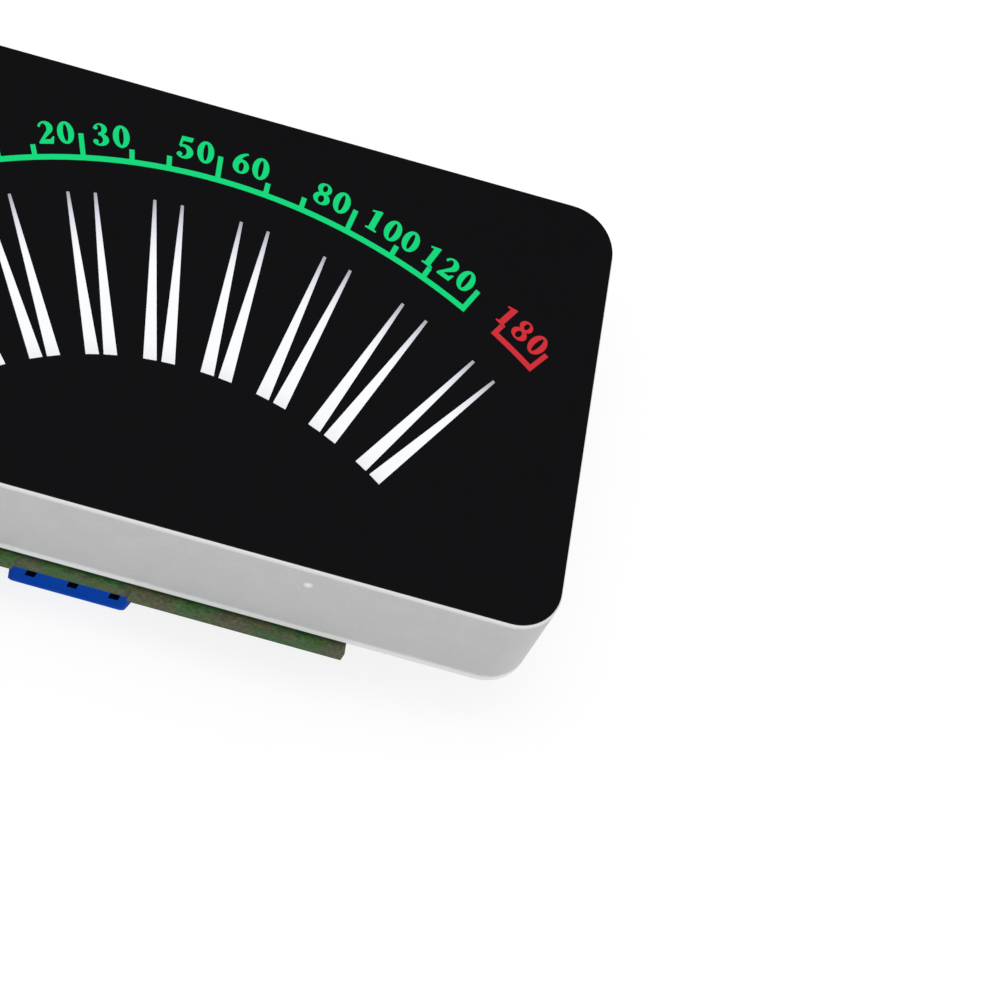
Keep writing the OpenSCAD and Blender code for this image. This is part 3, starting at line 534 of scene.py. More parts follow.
@dataclass(frozen=True)
class Window(Finish):
    """Milky needle with painted light: painted brightest over its middle and greyer towards its base and
    tip.
    """

    centre: Place
    base_radius: float
    tip_radius: float
    painted_light_steps: tuple[tuple[float, Colour], ...]
    mottle: float = 0.012
    scale: float = 1800.0
    smooth: float = 0.35
    rough: float = 0.5
    specular: float = 0.2

    def look(self, graph: Graph) -> dict[str, object]:
        """Adds the nodes and gives the inputs of the shader.

        Args:
            graph: Graph of the material.

        Returns:
            The inputs.
        """
        flat = graph.vector("MULTIPLY", graph.place(), (1.0, 1.0, 0.0))[0]
        away = graph.vector("DISTANCE", flat, self.centre)["Value"]
        share = graph.spread(away, (self.base_radius, self.tip_radius), 0.0, 1.0)
        # The ramp paints light along the needle: brightest over its middle, a little greyer at its base and
        # much greyer at its tip.
        ramp = graph.add("ShaderNodeValToRGB", Fac=share)
        stops = ramp.color_ramp.elements
        while len(stops) < len(self.painted_light_steps):
            stops.new(0.5)
        for stop, (place, colour) in zip(stops, self.painted_light_steps):
            stop.position = place
            stop.color = colour
        grain = use_group(graph, grain_group(), Colour=ramp.outputs[0], Mottle=self.mottle,
                          Scale=self.scale, Smooth=self.smooth, Rough=self.rough)
        return {"Base_Color": grain["Colour"], "Roughness": grain["Roughness"],
                "Specular_IOR_Level": self.specular}


FAN_CENTRE = (0.0, -47.5 * MM, 0.0)
FACE_LEVEL = 26.9 * MM
RIM_LEVEL = 13.1 * MM

# Painted highlights: paler lines round the face edge and the rear rim, where the eased edges catch the
# light; the spot is a small pale dot on the front wall.
HOUSING = Moulded(
    "housing_grey", srgb(203, 203, 204), mottle=0.035, scale=2300.0, smooth=0.5, rough=0.62,
    relief=0.024 * MM, specular=0.3,
    painted_highlights=(WornEdge(srgb(234, 234, 234), FACE_LEVEL, 0.75 * MM),
          WornEdge(srgb(247, 247, 247), RIM_LEVEL, 1.3 * MM)),
    spots=(Spot(srgb(250, 250, 250), (18.85 * MM, -28.4 * MM, 23.5 * MM), 0.7 * MM),))
FILM = Moulded("film_black", srgb(11, 11, 13), mottle=0.05, scale=3800.0, smooth=0.56, rough=0.6,
               relief=0.003 * MM, specular=0.03)
# Needle colours by distance from the fan centre: painted light falling off from the middle of each needle.
NEEDLES = Window(
    "window_white", FAN_CENTRE, 40.6 * MM, 61.6 * MM,
    ((0.0, srgb(238, 240, 243)), (0.1, srgb(249, 251, 253)), (0.6, srgb(251, 253, 255)),
     (0.74, srgb(241, 242, 248)), (0.86, srgb(220, 222, 232)), (0.95, srgb(190, 191, 201)),
     (1.0, srgb(166, 167, 174))))
GREEN_INK = Ink("print_green", srgb(14, 217, 124), srgb(12, 196, 110))
RED_INK = Ink("print_red", srgb(208, 46, 56), srgb(190, 38, 48))
WHITE_INK = Ink("board_print", srgb(232, 234, 228), srgb(196, 206, 190), 9000.0)
DRIVER_LAMINATE = Laminate("driver_board", "driver_board", srgb(26, 82, 44), srgb(52, 62, 40),
                           srgb(81, 83, 58), srgb(55, 90, 43), 1.3 * MM)
LAMP_LAMINATE = Laminate("lamp_board", "lamp_board", srgb(26, 82, 44), srgb(52, 62, 40),
                         srgb(96, 94, 72), srgb(58, 92, 54), 0.5 * MM)
COPPER = Moulded("covered_copper", srgb(48, 116, 58), mottle=0.05, scale=1500.0, smooth=0.28, rough=0.4,
                 relief=0.003 * MM, specular=0.5)
LAMP = Moulded("lamp_resin", srgb(238, 236, 214), mottle=0.04, scale=1800.0, smooth=0.2, rough=0.35)
BRASS = Metal("pin_brass", srgb(214, 184, 112), srgb(186, 150, 84))
CONTACT = Metal("contact_brass", srgb(206, 176, 106), srgb(172, 140, 78), (900.0, 3200.0, 900.0))
TIN = Metal("solder_tin", srgb(206, 208, 210), srgb(168, 170, 174), (1500.0, 1500.0, 1500.0), 0.2, 0.38)
STEEL = Metal("screw_steel", srgb(204, 206, 208), srgb(160, 162, 164), (3200.0, 600.0, 3200.0), 0.24, 0.45)
ALUMINIUM = Metal("can_aluminium", srgb(212, 214, 216), srgb(203, 205, 208), (600.0, 600.0, 4200.0),
                  0.3, 0.36)
STRIP = Moulded("strip_black", srgb(26, 26, 28), mottle=0.1, scale=2400.0)
EPOXY = Moulded("chip_black", srgb(34, 34, 36), mottle=0.1, scale=5200.0, smooth=0.5, rough=0.7,
                relief=0.01 * MM, specular=0.3)
BASE = Moulded("base_black", srgb(28, 28, 30), mottle=0.08, scale=2400.0)
MARK = Ink("polarity_mark", srgb(20, 20, 22), srgb(40, 40, 42), 9000.0)
GLAZE = Moulded("resistor_black", srgb(30, 30, 34), mottle=0.12, scale=4200.0, smooth=0.25, rough=0.4)
CERAMIC = Moulded("ceramic_tan", srgb(178, 142, 98), mottle=0.08, scale=4600.0, smooth=0.4, rough=0.55)
TRIMMER = Moulded("trimmer_blue", srgb(22, 82, 170), mottle=0.05, scale=2600.0)
ROTOR = Moulded("rotor_ivory", srgb(236, 232, 220), mottle=0.03, scale=2400.0)
# The paler blue line round the block's rear end is a painted highlight.
TERMINAL = Moulded(
    "terminal_blue", srgb(0, 78, 197), mottle=0.06, scale=2200.0, smooth=0.5, rough=0.65, specular=0.04,
    painted_highlights=(WornEdge(srgb(0, 94, 228), 0.0, 0.6 * MM),))
# Dark navy copy of the terminal blue: painted shade in the wire entries and chambers.
TERMINAL_PAINTED_SHADE = Moulded("terminal_painted_shade", srgb(2, 12, 44), mottle=0.06, scale=2200.0, smooth=0.6,
                          rough=0.75, specular=0.04)


# Modelling


def deselect() -> None:
    """Goes to object mode with nothing selected."""
    if bpy.context.mode != "OBJECT":
        bpy.ops.object.mode_set(mode="OBJECT")
    bpy.ops.object.select_all(action="DESELECT")


def take(piece: bpy.types.Object) -> None:
    """Makes one piece the active one, and the only one selected.

    Args:
        piece: The piece.
    """
    deselect()
    piece.select_set(True)
    bpy.context.view_layer.objects.active = piece


@contextmanager
def editing(piece: bpy.types.Object, mode: str = "FACE") -> Iterator[None]:
    """Opens a piece in edit mode with nothing selected.

    Args:
        piece: The piece.
        mode: What is selected: VERT, EDGE or FACE.
    """
    take(piece)
    bpy.ops.object.mode_set(mode="EDIT")
    bpy.ops.mesh.select_mode(type=mode)
    bpy.ops.mesh.select_all(action="DESELECT")
    yield
    bpy.ops.object.mode_set(mode="OBJECT")


def pick(piece: bpy.types.Object, kind: str, test: Callable[[object], bool]) -> None:
    """Selects, in edit mode, what passes a test.

    Args:
        piece: The piece in edit mode.
        kind: What is tested: verts, edges or faces.
        test: The test.
    """
    mesh = bmesh.from_edit_mesh(piece.data)
    for item in getattr(mesh, kind):
        item.select_set(test(item))
    mesh.select_flush_mode()
    bmesh.update_edit_mesh(piece.data)


def named(piece: bpy.types.Object, name: str) -> bpy.types.Object:
    """Names a piece and its mesh.

    Args:
        piece: The piece.
        name: Its name.

    Returns:
        The piece.
    """
    piece.name = name
    piece.data.name = name
    return piece


def copy_node(node: str, name: str) -> bpy.types.Object:
    """Copies a CAD node's mesh to a new piece, with its corners merged and its flat faces whole.

    Args:
        node: The CAD node.
        name: Name of the new piece.

    Returns:
        The new piece.
    """
    piece = bpy.data.objects.new(name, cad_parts[node].data.copy())
    bpy.context.scene.collection.objects.link(piece)
    with editing(piece, "VERT"):
        bpy.ops.mesh.select_all(action="SELECT")
        bpy.ops.mesh.customdata_custom_splitnormals_clear()
        bpy.ops.mesh.remove_doubles(threshold=MERGE)
        bpy.ops.mesh.dissolve_limited(angle_limit=FLAT_ANGLE)
        bpy.ops.mesh.normals_make_consistent(inside=False)
    return named(piece, name)


def block(low: Vector, high: Vector) -> bpy.types.Object:
    """Adds a block at its size and place.

    Args:
        low: Lowest corner.
        high: Highest corner.

    Returns:
        The block.
    """
    deselect()
    bpy.ops.mesh.primitive_cube_add(size=1, location=(low + high) / 2, scale=high - low)
    bpy.ops.object.transform_apply(location=True, rotation=True, scale=True)
    return bpy.context.object


def lathe(centre: Vector, profile: Sequence[Point], sides: int) -> bpy.types.Object:
    """Draws a round piece ring by ring, from a surface down along -Z.

    Args:
        centre: Middle of the surface it starts from.
        profile: Radius and distance from the surface of each ring.
        sides: Sides of each ring.

    Returns:
        The closed piece.
    """
    deselect()
    radius, height = profile[0]
    bpy.ops.mesh.primitive_circle_add(vertices=sides, radius=radius, fill_type="NOTHING",
                                      location=centre - Vector((0, 0, height)))
    bpy.ops.object.transform_apply(location=True, rotation=True, scale=True)
    piece = bpy.context.object
    with editing(piece, "EDGE"):
        bpy.ops.mesh.select_all(action="SELECT")
        for next_radius, next_height in profile[1:]:
            step = (0, 0, height - next_height)
            bpy.ops.mesh.extrude_region_move(TRANSFORM_OT_translate={"value": step})
            share = next_radius / radius
            bpy.ops.transform.resize(value=(share, share, 1), center_override=centre)
            radius, height = next_radius, next_height
        bpy.ops.mesh.select_all(action="SELECT")
        bpy.ops.mesh.fill_holes(sides=0)
        bpy.ops.mesh.select_all(action="SELECT")
        bpy.ops.mesh.normals_make_consistent(inside=False)
    return piece


def rails(route: Sequence[Point], width: float) -> list[tuple[Vector, Vector]]:
    """Finds the two sides of a strip along a route.

    Args:
        route: Points along the middle of the strip.
        width: Width of the strip.

    Returns:
        The right and left corner at each point, mitred at the turns.
    """
    points = [Vector(point) for point in route]
    ways = [(end - start).normalized() for start, end in zip(points, points[1:])]
    pairs = []
    for index, point in enumerate(points):
        before = ways[max(index - 1, 0)]
        after = ways[min(index, len(ways) - 1)]
        along = (before + after).normalized()
        side = Vector((-along.y, along.x)) * (width / 2 / along.dot(after))
        pairs.append((point - side, point + side))
    return pairs


@dataclass
class FlatWork:
    """Flat copper or print, drawn shape by shape in one mesh and then given its thickness."""

    name: str
    level: float
    depth: float

    def __enter__(self) -> "FlatWork":
        """Opens an empty piece in edit mode.

        Returns:
            The drawing.
        """
        deselect()
        bpy.ops.object.add(type="MESH")
        self.piece = named(bpy.context.object, self.name)
        bpy.ops.object.mode_set(mode="EDIT")
        bpy.ops.mesh.select_mode(type="VERT")
        return self

    def __exit__(self, *problem: object) -> None:
        """Closes edit mode and gives the drawing its thickness, upwards from its level.

        Args:
            problem: What went wrong inside, if anything; not used.
        """
        bpy.ops.mesh.select_all(action="SELECT")
        bpy.ops.mesh.normals_make_consistent(inside=False)
        bpy.ops.object.mode_set(mode="OBJECT")
        thicken(self.piece, self.depth)

    def selected(self) -> list[bmesh.types.BMVert]:
        """Gives the corners that are selected, from left to right."""
        self.mesh = bmesh.from_edit_mesh(self.piece.data)
        return sorted((corner for corner in self.mesh.verts if corner.select),
                      key=lambda corner: (corner.co.x, corner.co.y))

    def strip(self, route: Sequence[Point], width: float) -> None:
        """Draws a strip along a route by extruding its end edge from point to point.

        Args:
            route: Points along the middle of the strip.
            width: Width of the strip.
        """
        pairs = rails(route, width)
        bpy.ops.mesh.primitive_plane_add(size=1, location=(0, 0, self.level))
        corners = self.selected()
        for corner, place in zip(corners, pairs[0] + pairs[1]):
            corner.co.xy = place
        for corner in corners[:2]:
            corner.select_set(False)
        self.mesh.select_flush_mode()
        bmesh.update_edit_mesh(self.piece.data)
        for (right, left), (next_right, next_left) in zip(pairs[1:], pairs[2:]):
            bpy.ops.mesh.extrude_region_move()
            for corner in self.selected():
                nearer_right = (corner.co.xy - right).length < (corner.co.xy - left).length
                corner.co.xy = next_right if nearer_right else next_left
            bmesh.update_edit_mesh(self.piece.data)

    def hollow(self, line: float) -> None:
        """Leaves only a line of this width round the shape just drawn."""
        bpy.ops.mesh.inset(thickness=line)
        bpy.ops.mesh.delete(type="ONLY_FACE")

    def frame(self, low: Point, high: Point, line: float) -> None:
        """Draws a rectangle as a line.

        Args:
            low: Lowest corner.
            high: Highest corner.
            line: Width of the line.
        """
        centre = ((low[0] + high[0]) / 2, (low[1] + high[1]) / 2, self.level)
        bpy.ops.mesh.primitive_plane_add(size=1, location=centre)
        bpy.ops.transform.resize(value=(high[0] - low[0], high[1] - low[1], 1), center_override=centre)
        self.hollow(line)

    def ring(self, centre: Point, radius: float, hole: float, sides: int = 20) -> None:
        """Draws a ring.

        Args:
            centre: Its middle.
            radius: Its outer radius.
            hole: Its inner radius.
            sides: Sides of its circles.
        """
        bpy.ops.mesh.primitive_circle_add(vertices=sides, radius=radius, fill_type="NGON",
                                          location=(centre[0], centre[1], self.level))
        self.hollow(radius - hole)


def modify(piece: bpy.types.Object, kind: str, **settings: object) -> bpy.types.Object:
    """Applies a modifier to a piece.

    Args:
        piece: The piece.
        kind: Type name of the modifier.
        settings: Settings of the modifier.

    Returns:
        The piece.
    """
    take(piece)
    change = piece.modifiers.new(kind, kind)
    for name, value in settings.items():
        setattr(change, name, value)
    bpy.ops.object.modifier_apply(modifier=change.name)
    return piece


def thicken(piece: bpy.types.Object, depth: float) -> None:
    """Gives a flat piece its thickness, upwards."""
    modify(piece, "SOLIDIFY", thickness=depth, offset=0.0)
    piece.data.transform(Matrix.Translation((0, 0, depth / 2)))


def carve(piece: bpy.types.Object, tool: bpy.types.Object, operation: str = "DIFFERENCE") -> None:
    """Cuts one piece with another, or unites them by UNION; the other is used up."""
    modify(piece, "BOOLEAN", object=tool, operation=operation, solver="EXACT")
    bpy.data.objects.remove(tool, do_unlink=True)


def soften(piece: bpy.types.Object, width: float, painted_light_steps: int = 2, angle: float = 40.0) -> bpy.types.Object:
    """Rounds the edges of a piece that are sharper than an angle in degrees, and smooths its curves."""
    return smooth(modify(piece, "BEVEL", width=width, segments=painted_light_steps, limit_method="ANGLE",
                         angle_limit=math.radians(angle)))


def smooth(piece: bpy.types.Object, angle: float = 35.0) -> bpy.types.Object:
    """Shades a piece smooth over its gentle angles.

    Args:
        piece: The piece.
        angle: Largest angle, in degrees, that is shaded smooth.

    Returns:
        The piece.
    """
    take(piece)
    bpy.ops.object.shade_smooth_by_angle(angle=math.radians(angle))
    return piece


def join(pieces: Sequence[bpy.types.Object], name: str) -> bpy.types.Object:
    """Joins pieces to one.

    Args:
        pieces: The pieces.
        name: Name of the joined piece.

    Returns:
        The joined piece.
    """
    take(pieces[0])
    for piece in pieces[1:]:
        piece.select_set(True)
    bpy.ops.object.join()
    return named(pieces[0], name)


def repeat(piece: bpy.types.Object, moves: Sequence[Vector], name: str) -> bpy.types.Object:
    """Copies a piece to several places and joins the copies, each with a mesh of its own.

    Args:
        piece: The piece as first modelled, which is used up.
        moves: Way from the piece to each copy.
        name: Name of the joined piece.

    Returns:
        The joined piece.
    """
    copies = []
    for move in moves:
        copy = piece.copy()
        copy.data = piece.data.copy()
        copy.data.transform(Matrix.Translation(move))
        bpy.context.scene.collection.objects.link(copy)
        copies.append(copy)
    bpy.data.objects.remove(piece, do_unlink=True)
    return join(copies, name)


def settle(
    piece: bpy.types.Object, finish: Finish | None,
    body: str = ROOT, stands_for: Sequence[str] = ()
) -> None:
    """Gives a finished piece its material, its body and the CAD nodes it stands for.

    Args:
        piece: The piece.
        finish: Its finish, or None if its faces already have theirs.
        body: CAD body it moves with.
        stands_for: CAD nodes that it replaces.
    """
    if finish:
        piece.data.materials.clear()
        piece.data.materials.append(finish.material())
    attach(piece, body)
    if stands_for:
        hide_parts(*stands_for)
    LOG.info("%s: %d faces, on %s", piece.name, len(piece.data.polygons), body)


def ease(
    node: str, name: str, edge: float, finish: Finish, body: str = ROOT
) -> None:
    """Models a CAD node again, under a new name, with its edges rounded to this width."""
    settle(soften(copy_node(node, name), edge), finish, body, (node,))


def dress(finish: Finish, *nodes: str) -> None:
    """Gives CAD nodes their finish.

    Args:
        finish: The finish.
        nodes: The CAD nodes.
    """
    for node in nodes:
        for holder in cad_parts[node].material_slots:
            holder.material = finish.material()
        LOG.info("%s: kept, finished as %s", node, finish.name)


@cache
def box(node: str) -> tuple[Vector, Vector]:
    """Gives the lowest and the highest corner of a CAD node."""
    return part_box(node)


def middle(node: str) -> Vector:
    """Gives the middle of a CAD node's box."""
    low, high = box(node)
    return (low + high) / 2


# Sub-assemblies


@dataclass
class Face:
    """Black film with its printed scale and the milky needles set in it."""

    def build(self) -> None:
        """Dresses the film, the needles and the print."""
        dress(FILM, "face_film")
        dress(NEEDLES, "needle_windows")
        dress(GREEN_INK, "scale_lines", "scale_numerals")
        dress(RED_INK, "overload_lines", "overload_numerals")


@dataclass
class Housing:
    """Grey moulded tray with eased outer edges."""

    corner: float = 5.7 * MM
    face_edge: float = 0.25 * MM
    rim_edge: float = 0.1 * MM
    edge_steps: int = 3

    def on_outline(self, place: Vector) -> bool:
        """Tells whether a point lies on the housing's outer wall.

        Args:
            place: The point.

        Returns:
            True if it does.
        """
        reach = box("face_film")[1]
        margin = box("housing_shell")[1].x - reach.x
        past = [max(abs(there) - (end + margin - self.corner), 0) for there, end in zip(place.xy, reach.xy)]
        return abs(math.hypot(*past) - self.corner) < NEAR

    def goes_round(self, edge: bmesh.types.BMEdge, level: float) -> bool:
        """Tells whether an edge runs round the outer wall at one height."""
        return all(abs(corner.co.z - level) < NEAR and self.on_outline(corner.co) for corner in edge.verts)

    def build(self) -> None:
        """Models the tray with eased edges round the face and round the rear rim."""
        shell = copy_node("housing_shell", "housing")
        with editing(shell, "EDGE"):
            for level, width in ((FACE_LEVEL, self.face_edge), (RIM_LEVEL, self.rim_edge)):
                pick(shell, "edges", lambda edge, height=level: self.goes_round(edge, height))
                bpy.ops.mesh.bevel(offset=width, segments=self.edge_steps, affect="EDGES")
        smooth(shell)
        settle(shell, HOUSING, stands_for=("housing_shell",))


@dataclass
class LampBoard:
    """Board that closes the housing, with tracks on the two parts that the driver board leaves bare."""

    track_count: int = 6
    track_width: float = 0.5 * MM
    track_pitch: float = 1.3 * MM
    copper: float = 0.04 * MM
    under_board: float = 1.5 * MM
    first_track: float = 3 * MM
    straight: float = 4 * MM
    slant: float = 5 * MM
    last_length: float = 4 * MM
    via_radius: float = 0.42 * MM
    via_hole: float = 0.18 * MM

    def routes(self, side: int) -> list[list[Point]]:
        """Lays out the tracks at one side.

        Args:
            side: -1 for the left side, 1 for the right side.

        Returns:
            The points of each track.
        """
        start = box("driver_board")[1].x - self.under_board
        routes = []
        for index in range(self.track_count):
            turn = start + self.straight + (self.track_count - index) * self.track_pitch
            end = turn + self.slant
            for up in (-1, 1):
                near = up * (self.first_track + index * self.track_pitch)
                far = near + up * self.slant
                routes.append([(side * start, near), (side * turn, near), (side * end, far),
                               (side * end, far + up * self.last_length)])
        return routes

    def build(self) -> None:
        """Dresses the board and lays its tracks, each of which ends in a plated hole."""
        dress(LAMP_LAMINATE, "lamp_board")
        dress(LAMP, "needle_lamps")
        level = box("lamp_board")[0].z - self.copper + NEAR / 2
        routes = self.routes(-1) + self.routes(1)
        into_ring = (self.via_radius + self.via_hole) / 2
        with FlatWork("lamp_board_tracks", level, self.copper) as tracks:
            for *start, (x, y) in routes:
                tracks.strip([*start, (x, y - math.copysign(into_ring, y))], self.track_width)
        with FlatWork("plated_holes", level, self.copper) as holes:
            for route in routes:
                holes.ring(route[-1], self.via_radius, self.via_hole)
        carve(tracks.piece, holes.piece, "UNION")
        settle(tracks.piece, COPPER)


@dataclass
class DriverBoard:
    """Board behind the housing: tracks, pads, printed outlines, link pins and their solder."""

    copper: float = 0.04 * MM
    print_depth: float = 0.03 * MM
    print_line: float = 0.18 * MM
    print_gap: float = 0.35 * MM
    outlined: tuple[str, ...] = ("lamp_driver_chip", "control_chip", "preamp_chip", "regulator",
                                 "audio_terminal", "power_terminal")
    outlined_pairs: tuple[str, ...] = ("trimmer_bodies", "capacitor_bases")
    lead_counts: tuple[tuple[str, int], ...] = (("lamp_driver_chip", 12), ("control_chip", 10),
                                                ("preamp_chip", 4))
    lead_pitch: float = 1.27 * MM
    lead_inset: float = 0.4 * MM
    lead_pad: Point = (0.62 * MM, 1.5 * MM)
    small_counts: tuple[int, int, int] = (6, 8, 5)
    small_pitch: float = 3.4 * MM
    small_half: float = 0.65 * MM
    small_pad: Point = (1.5 * MM, 0.9 * MM)
    small_pad_reach: float = 0.85 * MM
    pad_edge: float = 0.02 * MM
    pin_pitch: float = 2.54 * MM
    pin_count: int = 12
    first_pin: int = 3
    end_pin: int = 9
    lamp_feet: tuple[int, ...] = (0, 2, 4, 7, 9, 11)
    control_feet: tuple[int, ...] = (0, 1, 3, 6, 8, 9)
    jog_shares: Point = (0.3, 0.7)
    signal: float = 0.35 * MM
    signal_turn: float = 8 * MM
    signal_reach: float = 4 * MM
    supply: float = 1.6 * MM
    supply_turn: float = 6 * MM
    supply_reach: float = 3 * MM
    pole_inset: float = 2.5 * MM
    under_terminal: float = 1 * MM
    under_can: float = 2 * MM
    under_trimmer: float = 0.5 * MM
    trimmer_half: float = 3.4 * MM
    via_count: int = 9
    via_pitch: float = 4 * MM
    via_drop: float = 9.5 * MM
    via_inset: float = 1.6 * MM
    via_radius: float = 0.45 * MM
    via_hole: float = 0.2 * MM
    solder_base: float = 0.9 * MM
    solder_tip: float = 0.47 * MM
    solder_curve: float = 2.2
    solder_sides: int = 18
    solder_rings: int = 5

    def rear(self) -> float:
        """Gives the height of the board's rear face."""
        return box("driver_board")[0].z

    def row(self, count: int, pitch: float, centre: float = 0.0) -> list[float]:
        """Gives so many places in a row, a pitch apart, about a centre."""
        return [centre + (index - (count - 1) / 2) * pitch for index in range(count)]

    def feet(self) -> dict[str, tuple[list[float], float, float]]:
        """Finds the rows of feet of the three chips.

        Returns:
            For each chip, the places along it and the upper and lower row.
        """
        half = box("chip_leads")[1].y - middle("lamp_driver_chip").y - self.lead_inset
        rows = {}
        for node, count in self.lead_counts:
            centre = middle(node)
            rows[node] = (self.row(count, self.lead_pitch, centre.x), centre.y + half, centre.y - half)
        return rows

    def small_rows(self) -> list[tuple[list[float], float]]:
        """Finds the rows of small parts.

        Returns:
            The places along each row and the row's height on the board.
        """
        low, high = box("resistors")
        heights = (high.y - self.small_half, low.y + self.small_half, middle("ceramic_capacitors").y)
        return [(self.row(count, self.small_pitch), height)
                for count, height in zip(self.small_counts, heights)]

    def tracks(self) -> list[Track]:
        """Lays out the tracks.

        Returns:
            The points and the width of each track.
        """
        feet = self.feet()
        (upper_x, upper_y), (lower_x, lower_y), (bottom_x, bottom_y) = self.small_rows()
        drop = self.small_pad_reach
        pins = self.row(self.pin_count, self.pin_pitch)
        low, high = box("solder_joints")
        pin_low, pin_high = low.y + self.solder_base, high.y - self.solder_base
        found: list[Track] = []

        def jog(start: Point, end: Point) -> None:
            """Adds a signal track with one slanted length between two upright ones."""
            first, second = (start[1] + (end[1] - start[1]) * share for share in self.jog_shares)
            found.append(([start, (start[0], first), (end[0], second), end], self.signal))

        leads, top, bottom = feet["lamp_driver_chip"]
        for x, foot in zip(upper_x, self.lamp_feet):
            jog((leads[foot], bottom), (x, upper_y + drop))
        control, control_top, control_bottom = feet["control_chip"]
        for x, foot in zip(upper_x, self.control_feet):
            jog((x, upper_y - drop), (control[foot], control_top))
        for x, foot in zip(lower_x[1:-1], self.control_feet):
            jog((control[foot], control_bottom), (x, lower_y + drop))
        for x, above, pin in zip(bottom_x, lower_x[1:], pins[self.first_pin:]):
            jog((above, lower_y - drop), (x, bottom_y + drop))
            jog((x, bottom_y - drop), (pin, pin_low))
        for lead, pin in list(zip(leads, pins))[self.first_pin:self.end_pin]:
            jog((lead, top), (pin, pin_high))
        can = middle("capacitor_cans")
        can_x = box("capacitor_cans")[1].x - Capacitors.radius
        regulator = middle("regulator")
        terminal = box("power_terminal")
        supply_x, turn_y = terminal[0].x + self.pole_inset, can.y - self.supply_turn
        found.append(([(supply_x, terminal[1].y - self.under_terminal), (supply_x, turn_y),
                       (-can_x, can.y - self.supply_reach)], self.supply))
        found.append(([(self.under_can - can_x, can.y - self.under_can), (regulator.x, turn_y),
                       (regulator.x, regulator.y + self.supply_reach)], self.supply))
        preamp, preamp_top, preamp_bottom = feet["preamp_chip"]
        found.append(([(preamp[-1], preamp_top), (preamp[-1], can.y - self.signal_turn),
                       (can_x, can.y - self.signal_reach)], self.signal * 2))
        jog((preamp[2], preamp_bottom), (lower_x[-1], lower_y + drop))
        trimmers = box("trimmer_bodies")
        middles = (trimmers[0].x + self.trimmer_half, trimmers[1].x - self.trimmer_half)
        for x, lead in zip(middles, preamp[1::2]):
            jog((x, trimmers[1].y - self.under_trimmer), (lead, preamp_bottom))
        return found

    def lay_tracks(self) -> None:
        """Models the copper under the resist, with a row of plated holes at each side."""
        level = self.rear() - self.copper + NEAR / 2
        edge = box("driver_board")[1].x - self.via_inset
        with FlatWork("driver_board_tracks", level, self.copper) as tracks:
            for route, width in self.tracks():
                tracks.strip(route, width)
            for x in (-edge, edge):
                for y in self.row(self.via_count, self.via_pitch, middle("control_chip").y - self.via_drop):
                    tracks.ring((x, y), self.via_radius, self.via_hole)
        settle(tracks.piece, COPPER)

    def lay_pads(self) -> None:
        """Models the tinned pads under the leads and the small parts."""
        leads = [(x, y) for row, top, bottom in self.feet().values() for x in row for y in (top, bottom)]
        ends = [(x, height + side * self.small_pad_reach) for row, height in self.small_rows() for x in row
                for side in (-1, 1)]
        groups = []
        for size, places in ((self.lead_pad, leads), (self.small_pad, ends)):
            half = Vector((size[0] / 2, size[1] / 2, 0))
            pad = block(-half - Vector((0, 0, self.copper + NEAR)), half + Vector((0, 0, NEAR)))
            soften(pad, self.pad_edge, 1)
            groups.append(repeat(pad, [Vector((x, y, self.rear())) for x, y in places], "pads"))
        settle(join(groups, "driver_board_pads"), TIN)

    def print_outlines(self) -> None:
        """Models the printed outlines round the larger parts."""
        level = self.rear() - self.print_depth + NEAR / 4
        gap = self.print_gap
        with FlatWork("driver_board_print", level, self.print_depth) as drawing:
            for node in self.outlined:
                low, high = box(node)
                drawing.frame((low.x - gap, low.y - gap), (high.x + gap, high.y + gap), self.print_line)
            for node in self.outlined_pairs:
                low, high = box(node)
                half = (high.y - low.y) / 2
                reach = half + gap
                for x in (low.x + half, high.x - half):
                    y = low.y + half
                    drawing.frame((x - reach, y - reach), (x + reach, y + reach), self.print_line)
        settle(drawing.piece, WHITE_INK)

    def solder(self) -> None:
        """Models the hollow-sided solder joints round the link pins."""
        low, high = box("solder_joints")
        base, tip, height = self.solder_base, self.solder_tip, high.z - low.z
        profile = []
        for index in range(self.solder_rings + 1):
            share = index / self.solder_rings
            profile.append((tip + (base - tip) * (1 - share) ** self.solder_curve, share * height))
        first = Vector((low.x + base, low.y + base, high.z))
        joint = smooth(lathe(first, profile, self.solder_sides))
        moves = [Vector((index * self.pin_pitch, rise, 0))
                 for index in range(self.pin_count) for rise in (0.0, high.y - low.y - 2 * base)]
        settle(repeat(joint, moves, "solder_fillets"), TIN, stands_for=("solder_joints",))

    def build(self) -> None:
        """Builds the board's looks."""
        dress(DRIVER_LAMINATE, "driver_board")
        dress(BRASS, "link_pins")
        dress(STRIP, "link_strips")
        self.lay_tracks()
        self.lay_pads()
        self.print_outlines()
        self.solder()


